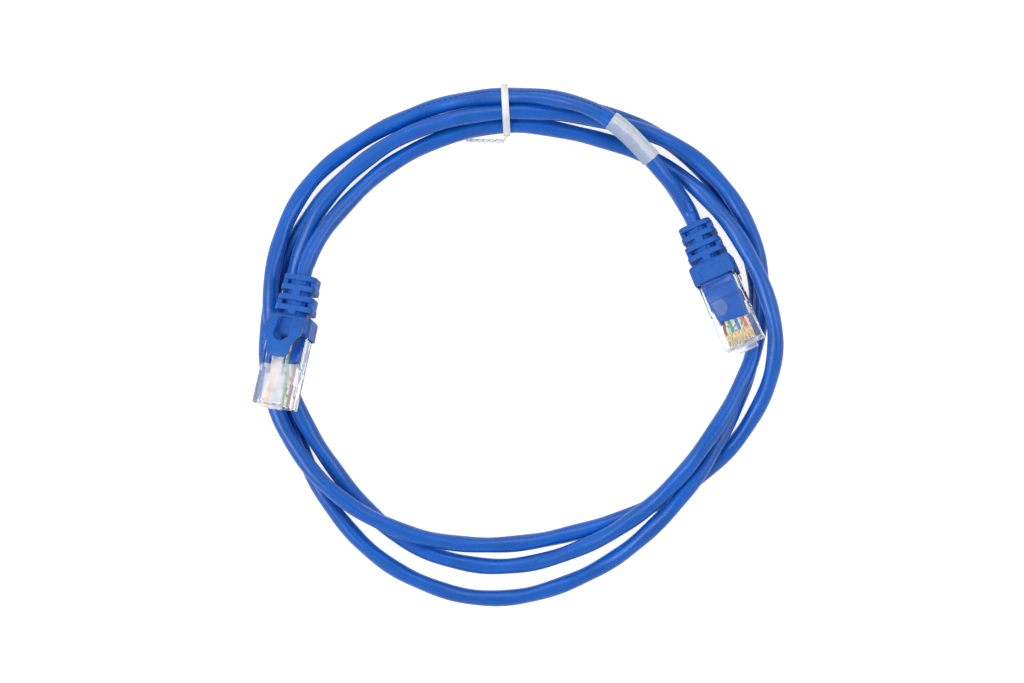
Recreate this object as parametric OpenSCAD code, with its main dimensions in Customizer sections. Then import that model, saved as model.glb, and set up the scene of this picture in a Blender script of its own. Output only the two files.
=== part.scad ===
// Ethernet patch cable: a loosely coiled cord with an eight-contact modular
// plug in a ribbed boot at each end, a twist tie round the bundle and a
// marker sleeve near one plug.
// Millimetres. +Z is up and the coil lies on z = 0.
// The X axis runs from the left plug to the right plug.

/* [Cord] */
// Outside diameter of the jacket
cord_d = 4.5; // [4:0.1:4.6]
// Wall of the jacket
jacket_wall = 0.55; // [0.4:0.05:0.6]
// Width of one twisted pair of insulated wires
pair_d = 1.1; // [0.8:0.1:1.2]
// How far the jacket runs into each boot
jacket_in = 14; // [12:0.5:15]

/* [Coil] */
// Radius of the innermost place that a turn takes
coil_r = 56.5; // [52:0.5:70]
// Room left between two turns that touch
turn_gap = 0.45; // [0.45:0.05:1]
// Rings of the tube in one turn
rings_per_turn = 24; // [24:1:30]

/* [Plug] */
// Width of the plug's housing
plug_w = 11.68; // [11.5:0.01:11.8]
// Height of the housing without its latch
plug_h = 6.5; // [6.3:0.05:6.8]
// Length of the housing
plug_len = 21.5; // [21.2:0.1:23]
// Spacing of the contacts
contact_pitch = 1.02; // [1:0.01:1.04]
// Thickness of a contact blade
contact_t = 0.35; // [0.25:0.05:0.4]
// Depth of the contacts' outer edge below the plug's face
contact_sunk = 0.45; // [0.3:0.05:0.6]
// Diameter of one insulated wire
wire_d = 0.95; // [0.8:0.05:0.98]
// Depth of the wires' centres below the contact face
wire_deep = 1.9; // [1.7:0.05:2.1]

/* [Latch] */
// Width of the key at the plug's nose
key_w = 6; // [5.8:0.05:6.1]
// Length of the wide part of the latch, from the nose
key_len = 8.5; // [8:0.1:9]
// Width of the latch's tail
latch_w = 3.25; // [3:0.05:3.4]
// Length of the latch from its root to its tail's end
latch_len = 16; // [15:0.25:16.5]
// Thickness of the latch
latch_t = 1.2; // [0.9:0.05:1.3]
// Angle at which the latch stands off the housing
latch_rest = 13; // [12:0.5:13.5]
// Height of the latch's root above the housing
latch_root_h = 0.9; // [0.85:0.05:1]
// How far the key stands out in front of the nose
key_out = 1.1; // [0.8:0.1:1.3]

/* [Boot] */
// Length of the boot
boot_len = 17.8; // [17.4:0.1:19]
// How far the boot's front reaches over the housing
boot_over = 1; // [0.6:0.1:1.4]
// Ribs of the strain relief
rib_count = 4; // [3:1:4]
// Spacing of the ribs
rib_pitch = 3; // [2.8:0.1:3]
// Thickness of one rib
rib_t = 1.85; // [1.6:0.05:2]
// Width of the first rib
rib_w = 9.8; // [9:0.1:10.5]
// Height of the first rib
rib_h = 8; // [7.5:0.1:8.4]
// Width of the boot where it meets the housing
boot_w = 12.9; // [12.6:0.1:13.2]
// Height of the boot where it meets the housing, without its hood
boot_h = 8.6; // [8.4:0.1:9]
// Diameter of the sleeve between the ribs
sleeve_d = 6.6; // [6.2:0.1:7]
// Reach of the hood's tip, from the boot's rear
hood_reach = 24; // [23.5:0.1:24.8]
// Width of the hood's tongue
hood_tip_w = 7.4; // [6.8:0.1:8]

/* [Marker and tie] */
// Length of the marker sleeve
marker_len = 14.5; // [10:0.5:15]
// Thickness of the marker film
marker_t = 0.2; // [0.15:0.05:0.25]
// Width of the twist tie
tie_w = 2; // [1.4:0.1:2.2]
// Thickness of the twist tie
tie_t = 0.7; // [0.5:0.05:0.8]
// Length of the tie's twisted ends
tie_tail = 11; // [8:0.5:13]

/* [Hidden] */
$fn = 40;
round_fn = 24;
seat = 0.05;          // clearance of a moulded fit inside one plug
run = 0.06;           // running clearance of a hinge
touch = 0.1;          // gap between the hood and the latch's tail

// The coil's centre, from the middle between the two plugs
coil_at = [2, -9.4];
// Each station of the coil: cord widths out from the innermost place, and up
turn_pitch = cord_d + turn_gap;
contact_count = 8;    // the standard's own number
floor_z = 0.4 * cord_d;
first_station = 144;
station_step = 24;
lay = [
    [1.65, 1.3], [1.6, 0.4], [1.5, 0.5], [1.6, 0.1], [2.4, 0.1],
    [2.92, 2.05], [3.6, 2.02], [2.6, 0.1], [1, 0], [0.1, 0],
    [0.4, 0.1], [1.3, 0.9], [2.5, 1.1], [3.3, 0.8], [3.35, 0],
    [3, 0], [2.7, 0], [2.6, 0.3], [3.2, 0], [3.6, 0],
    [3.4, 0], [2.5, 0], [1.6, 0.8], [1.7, 1.05], [2.6, 0],
    [3.6, 0], [3.6, 0], [3, 0], [2.4, 0], [2.3, 0.4],
    [2.7, 1.1], [2.6, 1.1], [2.3, 1.35], [2.6, 1], [3.7, 1.03],
    [3.72, 1.06], [2.5, 1.05], [1, 1.8], [0.7, 1.3], [1, 0.6],
    [1.7, 0], [1.9, 0], [1.6, 0], [2.1, 1.15], [3.4, 1.2],
    [4.15, 0.4], [3.6, 0.5], [3.4, 1.3], [3, 2.2], [1.6, 1.6]];

// Where each plug lies: angle and place round the coil, height, then its
// roll, its nose-up pitch and its heading in degrees
left_angle = 162.3;
left_lane = 1.63;
left_layer = 2.3;
left_turn = [12, 11, -101.5];
right_angle = 34.3;
right_lane = 1.14;
right_z = 5;
right_turn = [192, 15, -68.7];

// Places along a plug, from the boot's rear
housing_from = boot_len - boot_over;
nose = housing_from + plug_len;
insert_nose = boot_len + 13;
contact_len = 3.2;
contact_to = nose - 0.6;
contact_from = contact_to - contact_len;
body_from = rib_count * rib_pitch;
latch_root = [nose - 1.2, plug_h / 2 + latch_root_h];
root_r = 0.75;
hood_root = [boot_len - 2.7, 6.3];
hood_root_r = 1;
latch_top = latch_root[1] + latch_len * sin(latch_rest) + latch_t / 2;

function ring_list(prefix) = [for (i = [1 : contact_count]) str(prefix, i)];
function plug_nodes(side) = concat(
    [for (n = ["housing", "latch", "boot", "hood", "insert"]) str(side, "_", n)],
    ring_list(str(side, "_contact_")), ring_list(str(side, "_wire_")));
pair_names = ["pair_blue", "pair_orange", "pair_green", "pair_brown"];
pair_colours = ["#2456b0", "#e06a2c", "#2f9a4a", "#7a4a30"];
wire_colours = ["#f2e4d8", "#e8632c", "#dfeee0", "#2f62c0",
                "#dfe6f5", "#2f9a4a", "#efe4da", "#7a4a30"];

// ---- the cord's route ----

function polar(angle, lane, z) =
    [coil_at[0] + (coil_r + lane * turn_pitch) * cos(angle),
     coil_at[1] + (coil_r + lane * turn_pitch) * sin(angle), z];
function heading(turn) =
    [cos(turn[1]) * cos(turn[2]), cos(turn[1]) * sin(turn[2]), sin(turn[1])];
left_at = polar(left_angle, left_lane, floor_z + left_layer * turn_pitch);
right_at = polar(right_angle, right_lane, right_z);
left_dir = heading(left_turn);
right_dir = heading(right_turn);

// The route's points: out of the left boot, round the coil, into the right one
last = len(lay) + 1;
route = concat(
    [left_at - cord_d * left_dir],
    [for (k = [0 : len(lay) - 1])
        polar(first_station - station_step * k, lay[k][0],
              floor_z + lay[k][1] * turn_pitch)],
    [right_at - cord_d * right_dir]);
span = [for (i = [0 : last - 1]) norm(route[i + 1] - route[i])];
chord = [for (i = [0 : last - 1]) (route[i + 1] - route[i]) / span[i]];
slope = [for (i = [0 : last])
    i == 0 ? -left_dir : i == last ? right_dir :
    (chord[i - 1] * span[i] + chord[i] * span[i - 1]) / (span[i] + span[i - 1])];

// A smooth curve through the route's points; u counts points
function on_route(u) =
    let (i = min(floor(u), last - 1), t = u - i, h = span[i],
         p = (2 * t ^ 3 - 3 * t ^ 2 + 1) * route[i] +
             (t ^ 3 - 2 * t ^ 2 + t) * h * slope[i] +
             (3 * t ^ 2 - 2 * t ^ 3) * route[i + 1] +
             (t ^ 3 - t ^ 2) * h * slope[i + 1])
    [p[0], p[1], max(p[2], floor_z)];

// Rings of the tube, at the same angles in every turn
ring_step = 360 / rings_per_turn / station_step;
ring_first = 0.955;
ring_us = concat([0],
                 [for (u = [ring_first : ring_step : last - 0.5]) u], [last]);
centres = concat([left_at + jacket_in * left_dir],
                 [for (u = ring_us) on_route(u)],
                 [right_at + jacket_in * right_dir]);
rings = len(centres);

function unit(v) = v / norm(v);
function tangent(i) =
    i <= 1 ? -left_dir : i >= rings - 2 ? right_dir :
    unit(unit(centres[i + 1] - centres[i]) + unit(centres[i] - centres[i - 1]));
function aside(i) = unit(cross([0, 0, 1], tangent(i)));
function upward(i) = cross(tangent(i), aside(i));

// One ring of a tube: its radius, its sides and its offset in the jacket
function ring(i, r, sides, off) =
    [for (k = [0 : sides - 1])
        let (a = 360 * k / sides,
             p = centres[i] + (off[0] + r * cos(a)) * aside(i) +
                 (off[1] + r * sin(a)) * upward(i))
        [p[0], p[1], max(p[2], 0)]];

// Triangles between rings a and b, each with n points
function band(a, b, n) = [for (k = [0 : n - 1]) each
    [[a + k, b + k, a + (k + 1) % n], [b + k, b + (k + 1) % n, a + (k + 1) % n]]];
function turned(faces) = [for (f = faces) [f[2], f[1], f[0]]];

module tube(r, sides, off) {
    points = [for (i = [0 : rings - 1]) each ring(i, r, sides, off)];
    walls = [for (i = [0 : rings - 2]) each band(i * sides, (i + 1) * sides, sides)];
    near = [for (k = [1 : sides - 2]) [0, k, k + 1]];
    at = (rings - 1) * sides;
    far = [for (k = [1 : sides - 2]) [at, at + k + 1, at + k]];
    polyhedron(concat(points), concat(walls, near, far));
}

module hollow_tube(r_out, r_in, sides) {
    n = rings * sides;
    outer = [for (i = [0 : rings - 1]) each ring(i, r_out, sides, [0, 0])];
    inner = [for (i = [0 : rings - 1]) each ring(i, r_in, sides, [0, 0])];
    out_wall = [for (i = [0 : rings - 2]) each band(i * sides, (i + 1) * sides, sides)];
    in_wall = turned([for (i = [0 : rings - 2]) each
        band(n + i * sides, n + (i + 1) * sides, sides)]);
    near = band(n, 0, sides);
    far = band((rings - 1) * sides, n + (rings - 1) * sides, sides);
    polyhedron(concat(outer, inner), concat(out_wall, in_wall, near, far));
}

// The least gap between two turns, on points along the tube's centreline
parts_of = 4;
walk = [for (i = [1 : rings - 3]) each [for (j = [0 : parts_of - 1])
    centres[i] + (centres[i + 1] - centres[i]) * j / parts_of]];
far_apart = 3 * parts_of;
least_gap = min([for (i = [0 : len(walk) - far_apart - 1])
    min([for (j = [i + far_apart : len(walk) - 1]) norm(walk[i] - walk[j])])]) - cord_d;
echo(least_gap_between_turns = least_gap);

// ---- the cord ----

module jacket() {
    color("#1f62c8") hollow_tube(cord_d / 2, cord_d / 2 - jacket_wall, 6);
}

// One pair of the four, in its own corner of the jacket
module pair(i) {
    bore = cord_d / 2 - jacket_wall;
    r = min(pair_d / 2, 0.36 * bore - seat / 2);
    corner = [[1, 1], [-1, 1], [-1, -1], [1, -1]][i];
    color(pair_colours[i]) tube(r, 4, corner * (r + seat));
}

// ---- one plug, along X from the boot's rear, latch up ----

module at_left() { translate(left_at) rotate([0, -left_turn[1], left_turn[2]])
    rotate([left_turn[0], 0, 0]) children(); }
module at_right() { translate(right_at) rotate([0, -right_turn[1], right_turn[2]])
    rotate([right_turn[0], 0, 0]) children(); }

// A block given by its span along X, its width and its span in height
module block(x, w, z) {
    translate([x[0], -w / 2, z[0]]) cube([x[1] - x[0], w, z[1] - z[0]]);
}

// A slab along X with rounded corners
module slab(x, w, z, r) {
    translate([x[0], 0, (z[0] + z[1]) / 2]) rotate([90, 0, 90])
        linear_extrude(x[1] - x[0]) offset(r, $fn = round_fn)
            square([w - 2 * r, z[1] - z[0] - 2 * r], center = true);
}

// A side profile in X and Z, drawn across the width w
module across(w) { rotate([90, 0, 0]) linear_extrude(w, center = true) children(); }

face_z = plug_h / 2;
wire_z = wire_deep - face_z;
cavity_w = plug_w - 1.8;
insert_steps = [0, 2.6, 6, 8.7, 11, 13];
insert_depth = [2.3, 2.6, 2.1, 2.35, 2.2];
insert_width = [0, 0, 0, 0.9, 1.1];
cavity_top = 1.6;
wire_from = boot_len + 1.6;

module housing() {
    row_w = contact_count * contact_pitch;
    wire_room = wire_d / 2 + seat / 2;
    color("#dfe8f0", 0.5) difference() {
        union() {
            block([housing_from, nose], plug_w, [-face_z, face_z]);
            block([latch_root[0], nose + key_out], key_w, [face_z - 1, latch_root[1] + 0.8]);
        }
        // The rear cavity for the insert
        for (i = [0 : 4])
            block([i == 0 ? housing_from - 1 : boot_len + insert_steps[i] - 0.01,
                   boot_len + insert_steps[i + 1] + (i == 4 ? seat : 0)],
                  cavity_w - insert_width[i], [-insert_depth[i] - seat, cavity_top + seat]);
        // The wires' slot
        block([insert_nose - 1, nose - 0.4], row_w - contact_pitch + 2 * wire_room,
              [wire_z - wire_room, wire_z + wire_room]);
        // One slot for each contact, open at the nose
        for (i = [1 : contact_count]) translate([0, contact_y(i), 0]) {
            block([contact_from - seat, contact_to + seat], contact_t + seat,
                  [-face_z - 1, wire_z]);
            block([contact_to, nose + 1], contact_t + seat, [-face_z - 1, wire_z - 0.9]);
        }
        // The window of the strain relief
        block([boot_len + 6.2, boot_len + 8.5], 6.4, [-face_z - 1, -2]);
        // The cradle of the latch's root
        translate([latch_root[0], 0, latch_root[1]]) rotate([90, 0, 0])
            cylinder(h = key_w + 1, r = root_r + run, center = true);
    }
}

function contact_y(i) = (i - (contact_count + 1) / 2) * contact_pitch;
teeth = [0.75, 2.2];
tooth_w = 0.5;
tooth_top = wire_z + 0.2;

module contact(i) {
    low = -face_z + contact_sunk;
    color("#d9b25c") translate([0, contact_y(i), 0]) {
        block([contact_from, contact_to], contact_t, [low, wire_z - wire_d / 2 - seat]);
        for (t = teeth) across(contact_t)
            polygon([[contact_from + t, wire_z - wire_d / 2 - 2 * seat],
                     [contact_from + t + tooth_w, wire_z - wire_d / 2 - 2 * seat],
                     [contact_from + t + tooth_w / 2 + 0.1, tooth_top],
                     [contact_from + t + tooth_w / 2 - 0.1, tooth_top]]);
    }
}

// A wire in the row, notched where its contact's teeth pierce it
module wire(i) {
    color(wire_colours[i - 1]) translate([0, contact_y(i), 0]) difference() {
        translate([wire_from, 0, wire_z]) rotate([0, 90, 0])
            cylinder(h = nose - 0.5 - wire_from, d = wire_d);
        for (t = teeth) block([contact_from + t - seat, contact_from + t + tooth_w + seat],
            contact_t + seat, [wire_z - wire_d, tooth_top + seat]);
    }
}

// The moulded block that grips the cord and fills the housing's rear
module insert() {
    tail_w = 8;
    tail_h = 5;
    channel_w = (contact_count - 1) * contact_pitch + wire_d + 2 * seat;
    color("#1c58b8") difference() {
        union() {
            for (i = [0 : 4])
                block([boot_len + insert_steps[i], boot_len + insert_steps[i + 1]],
                      cavity_w - insert_width[i] - 2 * seat, [-insert_depth[i], cavity_top]);
            block([jacket_in, boot_len + 0.5], tail_w, [-tail_h / 2 + 0.4, cavity_top]);
        }
        // The channel of the wires, open to the latch's side
        block([wire_from - seat, insert_nose + 1], channel_w,
              [wire_z - wire_d / 2 - seat / 2, cavity_top + 1]);
    }
}

// The latch: a wide key at the nose, then a narrow tail under the hood
module latch() {
    reach = nose - latch_root[0];
    color("#e4ecf2", 0.6) translate([latch_root[0], 0, latch_root[1]]) {
        rotate([90, 0, 0]) cylinder(h = key_w, r = root_r, center = true);
        rotate([0, latch_rest, 0]) {
            block([-(key_len - reach), 0], key_w, [-latch_t / 2, latch_t / 2]);
            block([-latch_len, 0], latch_w, [-latch_t / 2, latch_t / 2]);
        }
    }
}

module boot() {
    rib_grow = (boot_w - 1.2 - rib_w) / rib_count;
    bridge = 2.8;
    color("#2b6cd0") difference() {
        union() {
            rotate([0, 90, 0]) cylinder(h = body_from + 1, d = sleeve_d);
            for (i = [0 : rib_count - 1]) {
                w = rib_w + i * rib_grow;
                slab([i * rib_pitch, i * rib_pitch + rib_t], w, [-rib_h / 2, rib_h / 2], 1.2);
                if (i % 2 == 0) for (s = [-1, 1])
                    translate([0, s * (w / 2 - 0.8), 0])
                        block([i * rib_pitch + rib_t / 2, (i + 1) * rib_pitch + rib_t / 2],
                              1.4, [-rib_h / 2 + 1, rib_h / 2 - 1]);
                else
                    block([i * rib_pitch + rib_t / 2, (i + 1) * rib_pitch + rib_t / 2],
                          bridge, [-rib_h / 2, rib_h / 2]);
            }
            hull() {
                slab([body_from, body_from + 1], boot_w - 1.6, [-boot_h / 2 + 0.3, boot_h / 2 - 0.3], 1.4);
                slab([body_from + 1.6, boot_len], boot_w, [-boot_h / 2, boot_h / 2], 0.9);
            }
            deck();
            for (s = [-1, 1]) translate([0, s * (boot_w / 2 - 1.3), 0])
                block([hood_root[0] - 0.5, boot_len - 0.3], 1.6,
                      [boot_h / 2 - 1, hood_root[1] - 1]);
        }
        // The cord's bore
        translate([-1, 0, 0]) rotate([0, 90, 0])
            cylinder(h = jacket_in + 1, d = cord_d + 2 * seat);
        // The seat of the housing's rear
        block([housing_from - seat, boot_len + 1], plug_w + 2 * seat,
              [-face_z - seat, face_z + seat]);
        // The sunk panel on the contacts' side
        translate([body_from + 1.7, -4.1, -boot_h / 2 - 1]) cube([boot_len, 7.8, 1.2]);
        // The pocket of the insert's tail
        block([jacket_in, boot_len + 1], 8 + 2 * seat, [-2.1 - seat, cavity_top + seat]);
        // The cradle of the hood's root
        translate([hood_root[0], 0, hood_root[1]]) rotate([90, 0, 0])
            cylinder(h = boot_w - 1.8, r = hood_root_r + run, center = true);
    }
}

// The boot's raised deck, up to the hood's root
module deck() {
    x = hood_root[0];
    across(boot_w - 2.4) polygon([
        [body_from + 0.6, boot_h / 2 - 1], [body_from + 0.6, boot_h / 2 + 0.2],
        [x - 1.7, hood_root[1] + 0.7], [x - 0.4, hood_root[1] + 1.1],
        [x, hood_root[1] + 1.1], [x + 0.01, boot_h / 2 - 1]]);
}

// The hood over the latch's tail, with a window and a ramp down to it
module hood() {
    x = hood_root[0];
    z = hood_root[1];
    tip = hood_reach;
    tip_r = 1.8;
    under = latch_top + touch;
    color("#2f70d4") {
        translate([x, 0, z]) rotate([90, 0, 0])
            cylinder(h = boot_w - 2.4, r = hood_root_r, center = true);
        difference() {
            across(boot_w) polygon([
                [x, z - 0.6], [x, z + hood_root_r], [x + 2.6, z + 2.5], [x + 6, z + 3.1],
                [tip, z + 3], [tip, under], [tip - 3.6, under], [x + 2.2, z + 0.8]]);
            // The tongue's outline
            translate([0, 0, z - 2]) linear_extrude(8) difference() {
                translate([x - 2, -boot_w]) square([14, 2 * boot_w]);
                hull() {
                    translate([x, -(boot_w - 2.4) / 2]) square([1, boot_w - 2.4]);
                    for (s = [-1, 1]) translate([tip - tip_r, s * (hood_tip_w / 2 - tip_r)])
                        circle(r = tip_r);
                }
            }
            // The window
            translate([0, 0, z - 2]) linear_extrude(8)
                polygon([[x + 3.6, -1.8], [x + 5, -1.6], [x + 5, 1.6], [x + 3.6, 1.8]]);
            // The ramp
            across(4) polygon([[x + 0.8, z + 6], [x + 0.8, z + 1.2],
                               [x + 3.7, z + 1.9], [x + 3.7, z + 6]]);
        }
    }
}

// ---- what is on the cord ----

// A straight sleeve round the cord, along one step of the tube
module marker() {
    a = centres[rings - 5];
    b = centres[rings - 4];
    mid = (a + b) / 2;
    dir = unit(b - a);
    flat = norm([dir[0], dir[1]]);
    inner = cord_d / 2 + 0.08;
    color("#eef2f6", 0.7) translate(mid)
        rotate([0, atan2(-dir[2], flat), atan2(dir[1], dir[0])]) rotate([0, 90, 0])
            difference() {
                cylinder(h = marker_len, r = (inner + marker_t) / cos(30), center = true, $fn = 12);
                cylinder(h = marker_len + 1, r = inner / cos(15), center = true, $fn = 12);
            }
}

tie_angle = 93;
tie_turns = [for (k = [0 : 3]) (first_station - tie_angle + 360 * k) / station_step + 1];

// The point of the tube where it passes an angle; u counts the route's points
function on_tube(u) =
    let (j = floor((u - ring_first) / ring_step), a = on_route(ring_first + j * ring_step),
         b = on_route(ring_first + (j + 1) * ring_step),
         t = (u - ring_first) / ring_step - j)
    a + (b - a) * t;
function out_of(p) = [norm([p[0] - coil_at[0], p[1] - coil_at[1]]), p[2]];
tied = [for (u = tie_turns) out_of(on_tube(u))];

module bundle(grow) {
    hull() for (p = tied) translate(p) circle(r = cord_d / 2 + grow, $fn = 18);
}

module at_tie() {
    translate([coil_at[0], coil_at[1], 0]) rotate([0, 0, tie_angle]) rotate([90, 0, 0]) children();
}

module tie() {
    ease = 0.3;
    color("#f4f4f2") at_tie() linear_extrude(tie_w, center = true)
        intersection() {
            difference() {
                bundle(ease + tie_t);
                bundle(ease);
            }
            square([2 * coil_r, 2 * coil_r]);
        }
}

wire_r = 0.2;

// Along the tie's twisted end
module at_tail() {
    inner = min([for (p = tied) p[0]]);
    translate([coil_at[0], coil_at[1], 0]) rotate([0, 0, tie_angle])
        translate([inner - cord_d / 2 - 1.2, tie_w / 2 + seat, tie_w / 2 + 0.1])
            rotate([-90, 0, -4]) children();
}

module tie_tail() {
    turns = 3;
    color("#f4f4f2") at_tail()
        linear_extrude(tie_tail, twist = -360 * turns, slices = 12 * turns, segments = 4)
            difference() {
                square([tie_w - 0.1, tie_t], center = true);
                circle(r = wire_r + seat / 2, $fn = 6);
            }
}

// The tie's steel wire, in the twisted end
module tie_wire() {
    color("#9a9a98") at_tail() cylinder(h = tie_tail, r = wire_r * 0.8, $fn = 13);
}

// ---- the nodes ----

jacket();
for (i = [0 : 3]) pair(i);
at_left() housing();  // left_housing
at_left() latch();  // left_latch
at_left() boot();  // left_boot
at_left() hood();  // left_hood
at_left() insert();  // left_insert
at_right() housing();  // right_housing
at_right() latch();  // right_latch
at_right() boot();  // right_boot
at_right() hood();  // right_hood
at_right() insert();  // right_insert
for (i = [1 : contact_count]) {
    at_left() contact(i);
    at_left() wire(i);
    at_right() contact(i);
    at_right() wire(i);
}
marker();
tie();
tie_tail();
tie_wire();
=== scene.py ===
"""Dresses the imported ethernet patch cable: cord, plugs, boots, marker, tie and studio."""

import logging
import math
from collections.abc import Callable
from dataclasses import dataclass, field
from enum import Enum

import bmesh
import bpy
from bpy.types import Material, Node, NodeSocket, NodeTree, Object
from mathutils import Matrix, Vector, noise

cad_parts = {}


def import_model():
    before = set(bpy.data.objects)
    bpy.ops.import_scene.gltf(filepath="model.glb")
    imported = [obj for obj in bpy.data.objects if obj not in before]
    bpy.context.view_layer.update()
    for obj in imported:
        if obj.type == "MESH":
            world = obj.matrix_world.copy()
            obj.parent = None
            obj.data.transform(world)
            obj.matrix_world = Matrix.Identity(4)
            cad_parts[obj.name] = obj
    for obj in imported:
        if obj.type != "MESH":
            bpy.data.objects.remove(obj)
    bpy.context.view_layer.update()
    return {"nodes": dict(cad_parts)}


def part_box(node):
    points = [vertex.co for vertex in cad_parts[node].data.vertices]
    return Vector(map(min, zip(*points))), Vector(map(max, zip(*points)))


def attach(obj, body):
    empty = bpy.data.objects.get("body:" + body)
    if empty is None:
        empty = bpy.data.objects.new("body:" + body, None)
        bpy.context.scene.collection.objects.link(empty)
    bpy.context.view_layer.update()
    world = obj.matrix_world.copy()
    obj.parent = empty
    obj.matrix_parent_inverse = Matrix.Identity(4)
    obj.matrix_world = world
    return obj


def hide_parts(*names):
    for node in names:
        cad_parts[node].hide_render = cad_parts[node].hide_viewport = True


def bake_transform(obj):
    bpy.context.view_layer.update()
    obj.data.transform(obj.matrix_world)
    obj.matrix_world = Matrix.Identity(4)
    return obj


MM = 0.001
LINE_STEP = 0.001  # metres between two points of the cord's line
FLOOR_GAP = 0.00003  # metres that the cord's underside keeps from the floor
LOG = logging.getLogger("patch_cable")
Span = tuple[float, float]
Outline = list[Span]
Colour = tuple[float, float, float]


class End(Enum):
    """One of the cord's two ends."""

    LEFT = "left"
    RIGHT = "right"


class Axis(Enum):
    """The direction in which an outline is drawn out into a solid."""

    X = 0
    Y = 1
    Z = 2


# ---------------------------------------------------------------- mesh helpers


def mesh_object(name: str, points: list, faces: list) -> Object:
    """Makes an object from points and faces.

    Args:
        name: The object's name.
        points: Its points.
        faces: Its faces, as lists of point numbers.

    Returns:
        The new object, with its faces pointing outwards.
    """
    mesh = bpy.data.meshes.new(name)
    mesh.from_pydata([tuple(p) for p in points], [], faces)
    work = bmesh.new()
    work.from_mesh(mesh)
    bmesh.ops.recalc_face_normals(work, faces=work.faces)
    work.to_mesh(mesh)
    work.free()
    made = bpy.data.objects.new(name, mesh)
    bpy.context.scene.collection.objects.link(made)
    return made


def prism(name: str, outline: Outline, low: float, high: float, axis: Axis) -> Object:
    """Draws a closed outline out into a solid.

    Args:
        name: The object's name.
        outline: Points in (y, z) for X, (x, z) for Y or (x, y) for Z.
        low: Where the solid starts along the axis.
        high: Where it ends.
        axis: The axis that it is drawn along.

    Returns:
        The new object.
    """

    def at(a: float, b: float, c: float) -> tuple[float, float, float]:
        """Puts an outline point and a place along the axis in order."""
        return {Axis.X: (c, a, b), Axis.Y: (a, c, b), Axis.Z: (a, b, c)}[axis]

    n = len(outline)
    points = [at(a, b, c) for c in (low, high) for a, b in outline]
    sides = [[k, (k + 1) % n, n + (k + 1) % n, n + k] for k in range(n)]
    caps = [list(range(n)), list(range(2 * n - 1, n - 1, -1))]
    return mesh_object(name, points, sides + caps)


def box(name: str, x: Span, y: Span, z: Span) -> Object:
    """Makes a block from its spans along X, Y and Z."""
    outline = [(x[0], y[0]), (x[1], y[0]), (x[1], y[1]), (x[0], y[1])]
    return prism(name, outline, *z, Axis.Z)


def both_ways(half: float) -> Span:
    """Gives the span that reaches as far to either side of the middle."""
    return (-half, half)


def to_side(sign: int, inner: float, outer: float) -> Span:
    """Gives a span on one side of the middle, from its inner and outer place."""
    return (inner, outer) if sign > 0 else (-outer, -inner)


def rounded(width: float, height: float, radius: float, steps: int = 6) -> Outline:
    """Gives a rectangle with rounded corners, centred on the middle.

    Args:
        width: Its full width.
        height: Its full height.
        radius: The radius of its corners.
        steps: Points in each corner.

    Returns:
        The outline.
    """
    out = []
    for k, (sx, sy) in enumerate([(1, 1), (-1, 1), (-1, -1), (1, -1)]):
        for j in range(steps + 1):
            a = math.radians(90 * k + 90 * j / steps)
            x = sx * (width / 2 - radius) + radius * math.cos(a)
            y = sy * (height / 2 - radius) + radius * math.sin(a)
            out.append((x, y))
    return out


def rod(
    name: str, centre: Span, radius: float, low: float, high: float, axis: Axis, sides: int = 40
) -> Object:
    """Makes a round rod.

    Args:
        name: The object's name.
        centre: Its place across the axis.
        radius: Its radius.
        low: Where it starts along the axis.
        high: Where it ends.
        axis: Its axis.
        sides: Points round it.

    Returns:
        The new object.
    """
    turns = [math.tau * k / sides for k in range(sides)]
    ring = [(centre[0] + radius * math.cos(a), centre[1] + radius * math.sin(a)) for a in turns]
    return prism(name, ring, low, high, axis)


def settle(piece: Object) -> Object:
    """Turns what the modifiers make into the piece's own mesh.

    Args:
        piece: The piece, with its modifiers.

    Returns:
        The same piece, without modifiers.
    """
    seen = piece.evaluated_get(bpy.context.evaluated_depsgraph_get())
    mesh = bpy.data.meshes.new_from_object(seen)
    piece.modifiers.clear()
    old, piece.data = piece.data, mesh
    bpy.data.meshes.remove(old)
    return piece


def remove(pieces: list[Object]) -> None:
    """Deletes helper objects and their meshes.

    Args:
        pieces: The helpers.
    """
    for piece in pieces:
        mesh = piece.data
        bpy.data.objects.remove(piece)
        if mesh.users == 0:
            bpy.data.meshes.remove(mesh)


def combine(piece: Object, others: list[Object], how: str) -> Object:
    """Cuts, adds or intersects solids.

    Args:
        piece: The solid that is kept.
        others: The solids that act on it, which are then deleted.
        how: DIFFERENCE, UNION or INTERSECT.

    Returns:
        The piece with its new mesh.
    """
    for k, other in enumerate(others):
        tool = piece.modifiers.new(f"step_{k}", "BOOLEAN")
        tool.operation = how
        tool.solver = "EXACT"
        tool.object = other
    settle(piece)
    remove(others)
    return piece


def loft(name: str, rings: list[list]) -> Object:
    """Builds a closed solid through rings of points.

    Args:
        name: The object's name.
        rings: The rings, each with as many points.

    Returns:
        The new object.
    """
    n = len(rings[0])
    faces = []
    for i in range(len(rings) - 1):
        o = i * n
        faces += [[o + k, o + (k + 1) % n, o + n + (k + 1) % n, o + n + k] for k in range(n)]
    last = n * (len(rings) - 1)
    faces += [list(range(n))[::-1], [last + k for k in range(n)]]
    return mesh_object(name, [p for ring in rings for p in ring], faces)


def line_object(name: str, points: list[Vector]) -> Object:
    """Makes an object of edges alone, a line through its points.

    Args:
        name: The object's name.
        points: The line's points.

    Returns:
        The new object.
    """
    mesh = bpy.data.meshes.new(name)
    links = [(k, k + 1) for k in range(len(points) - 1)]
    mesh.from_pydata([tuple(p) for p in points], links, [])
    made = bpy.data.objects.new(name, mesh)
    bpy.context.scene.collection.objects.link(made)
    return made


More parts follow.
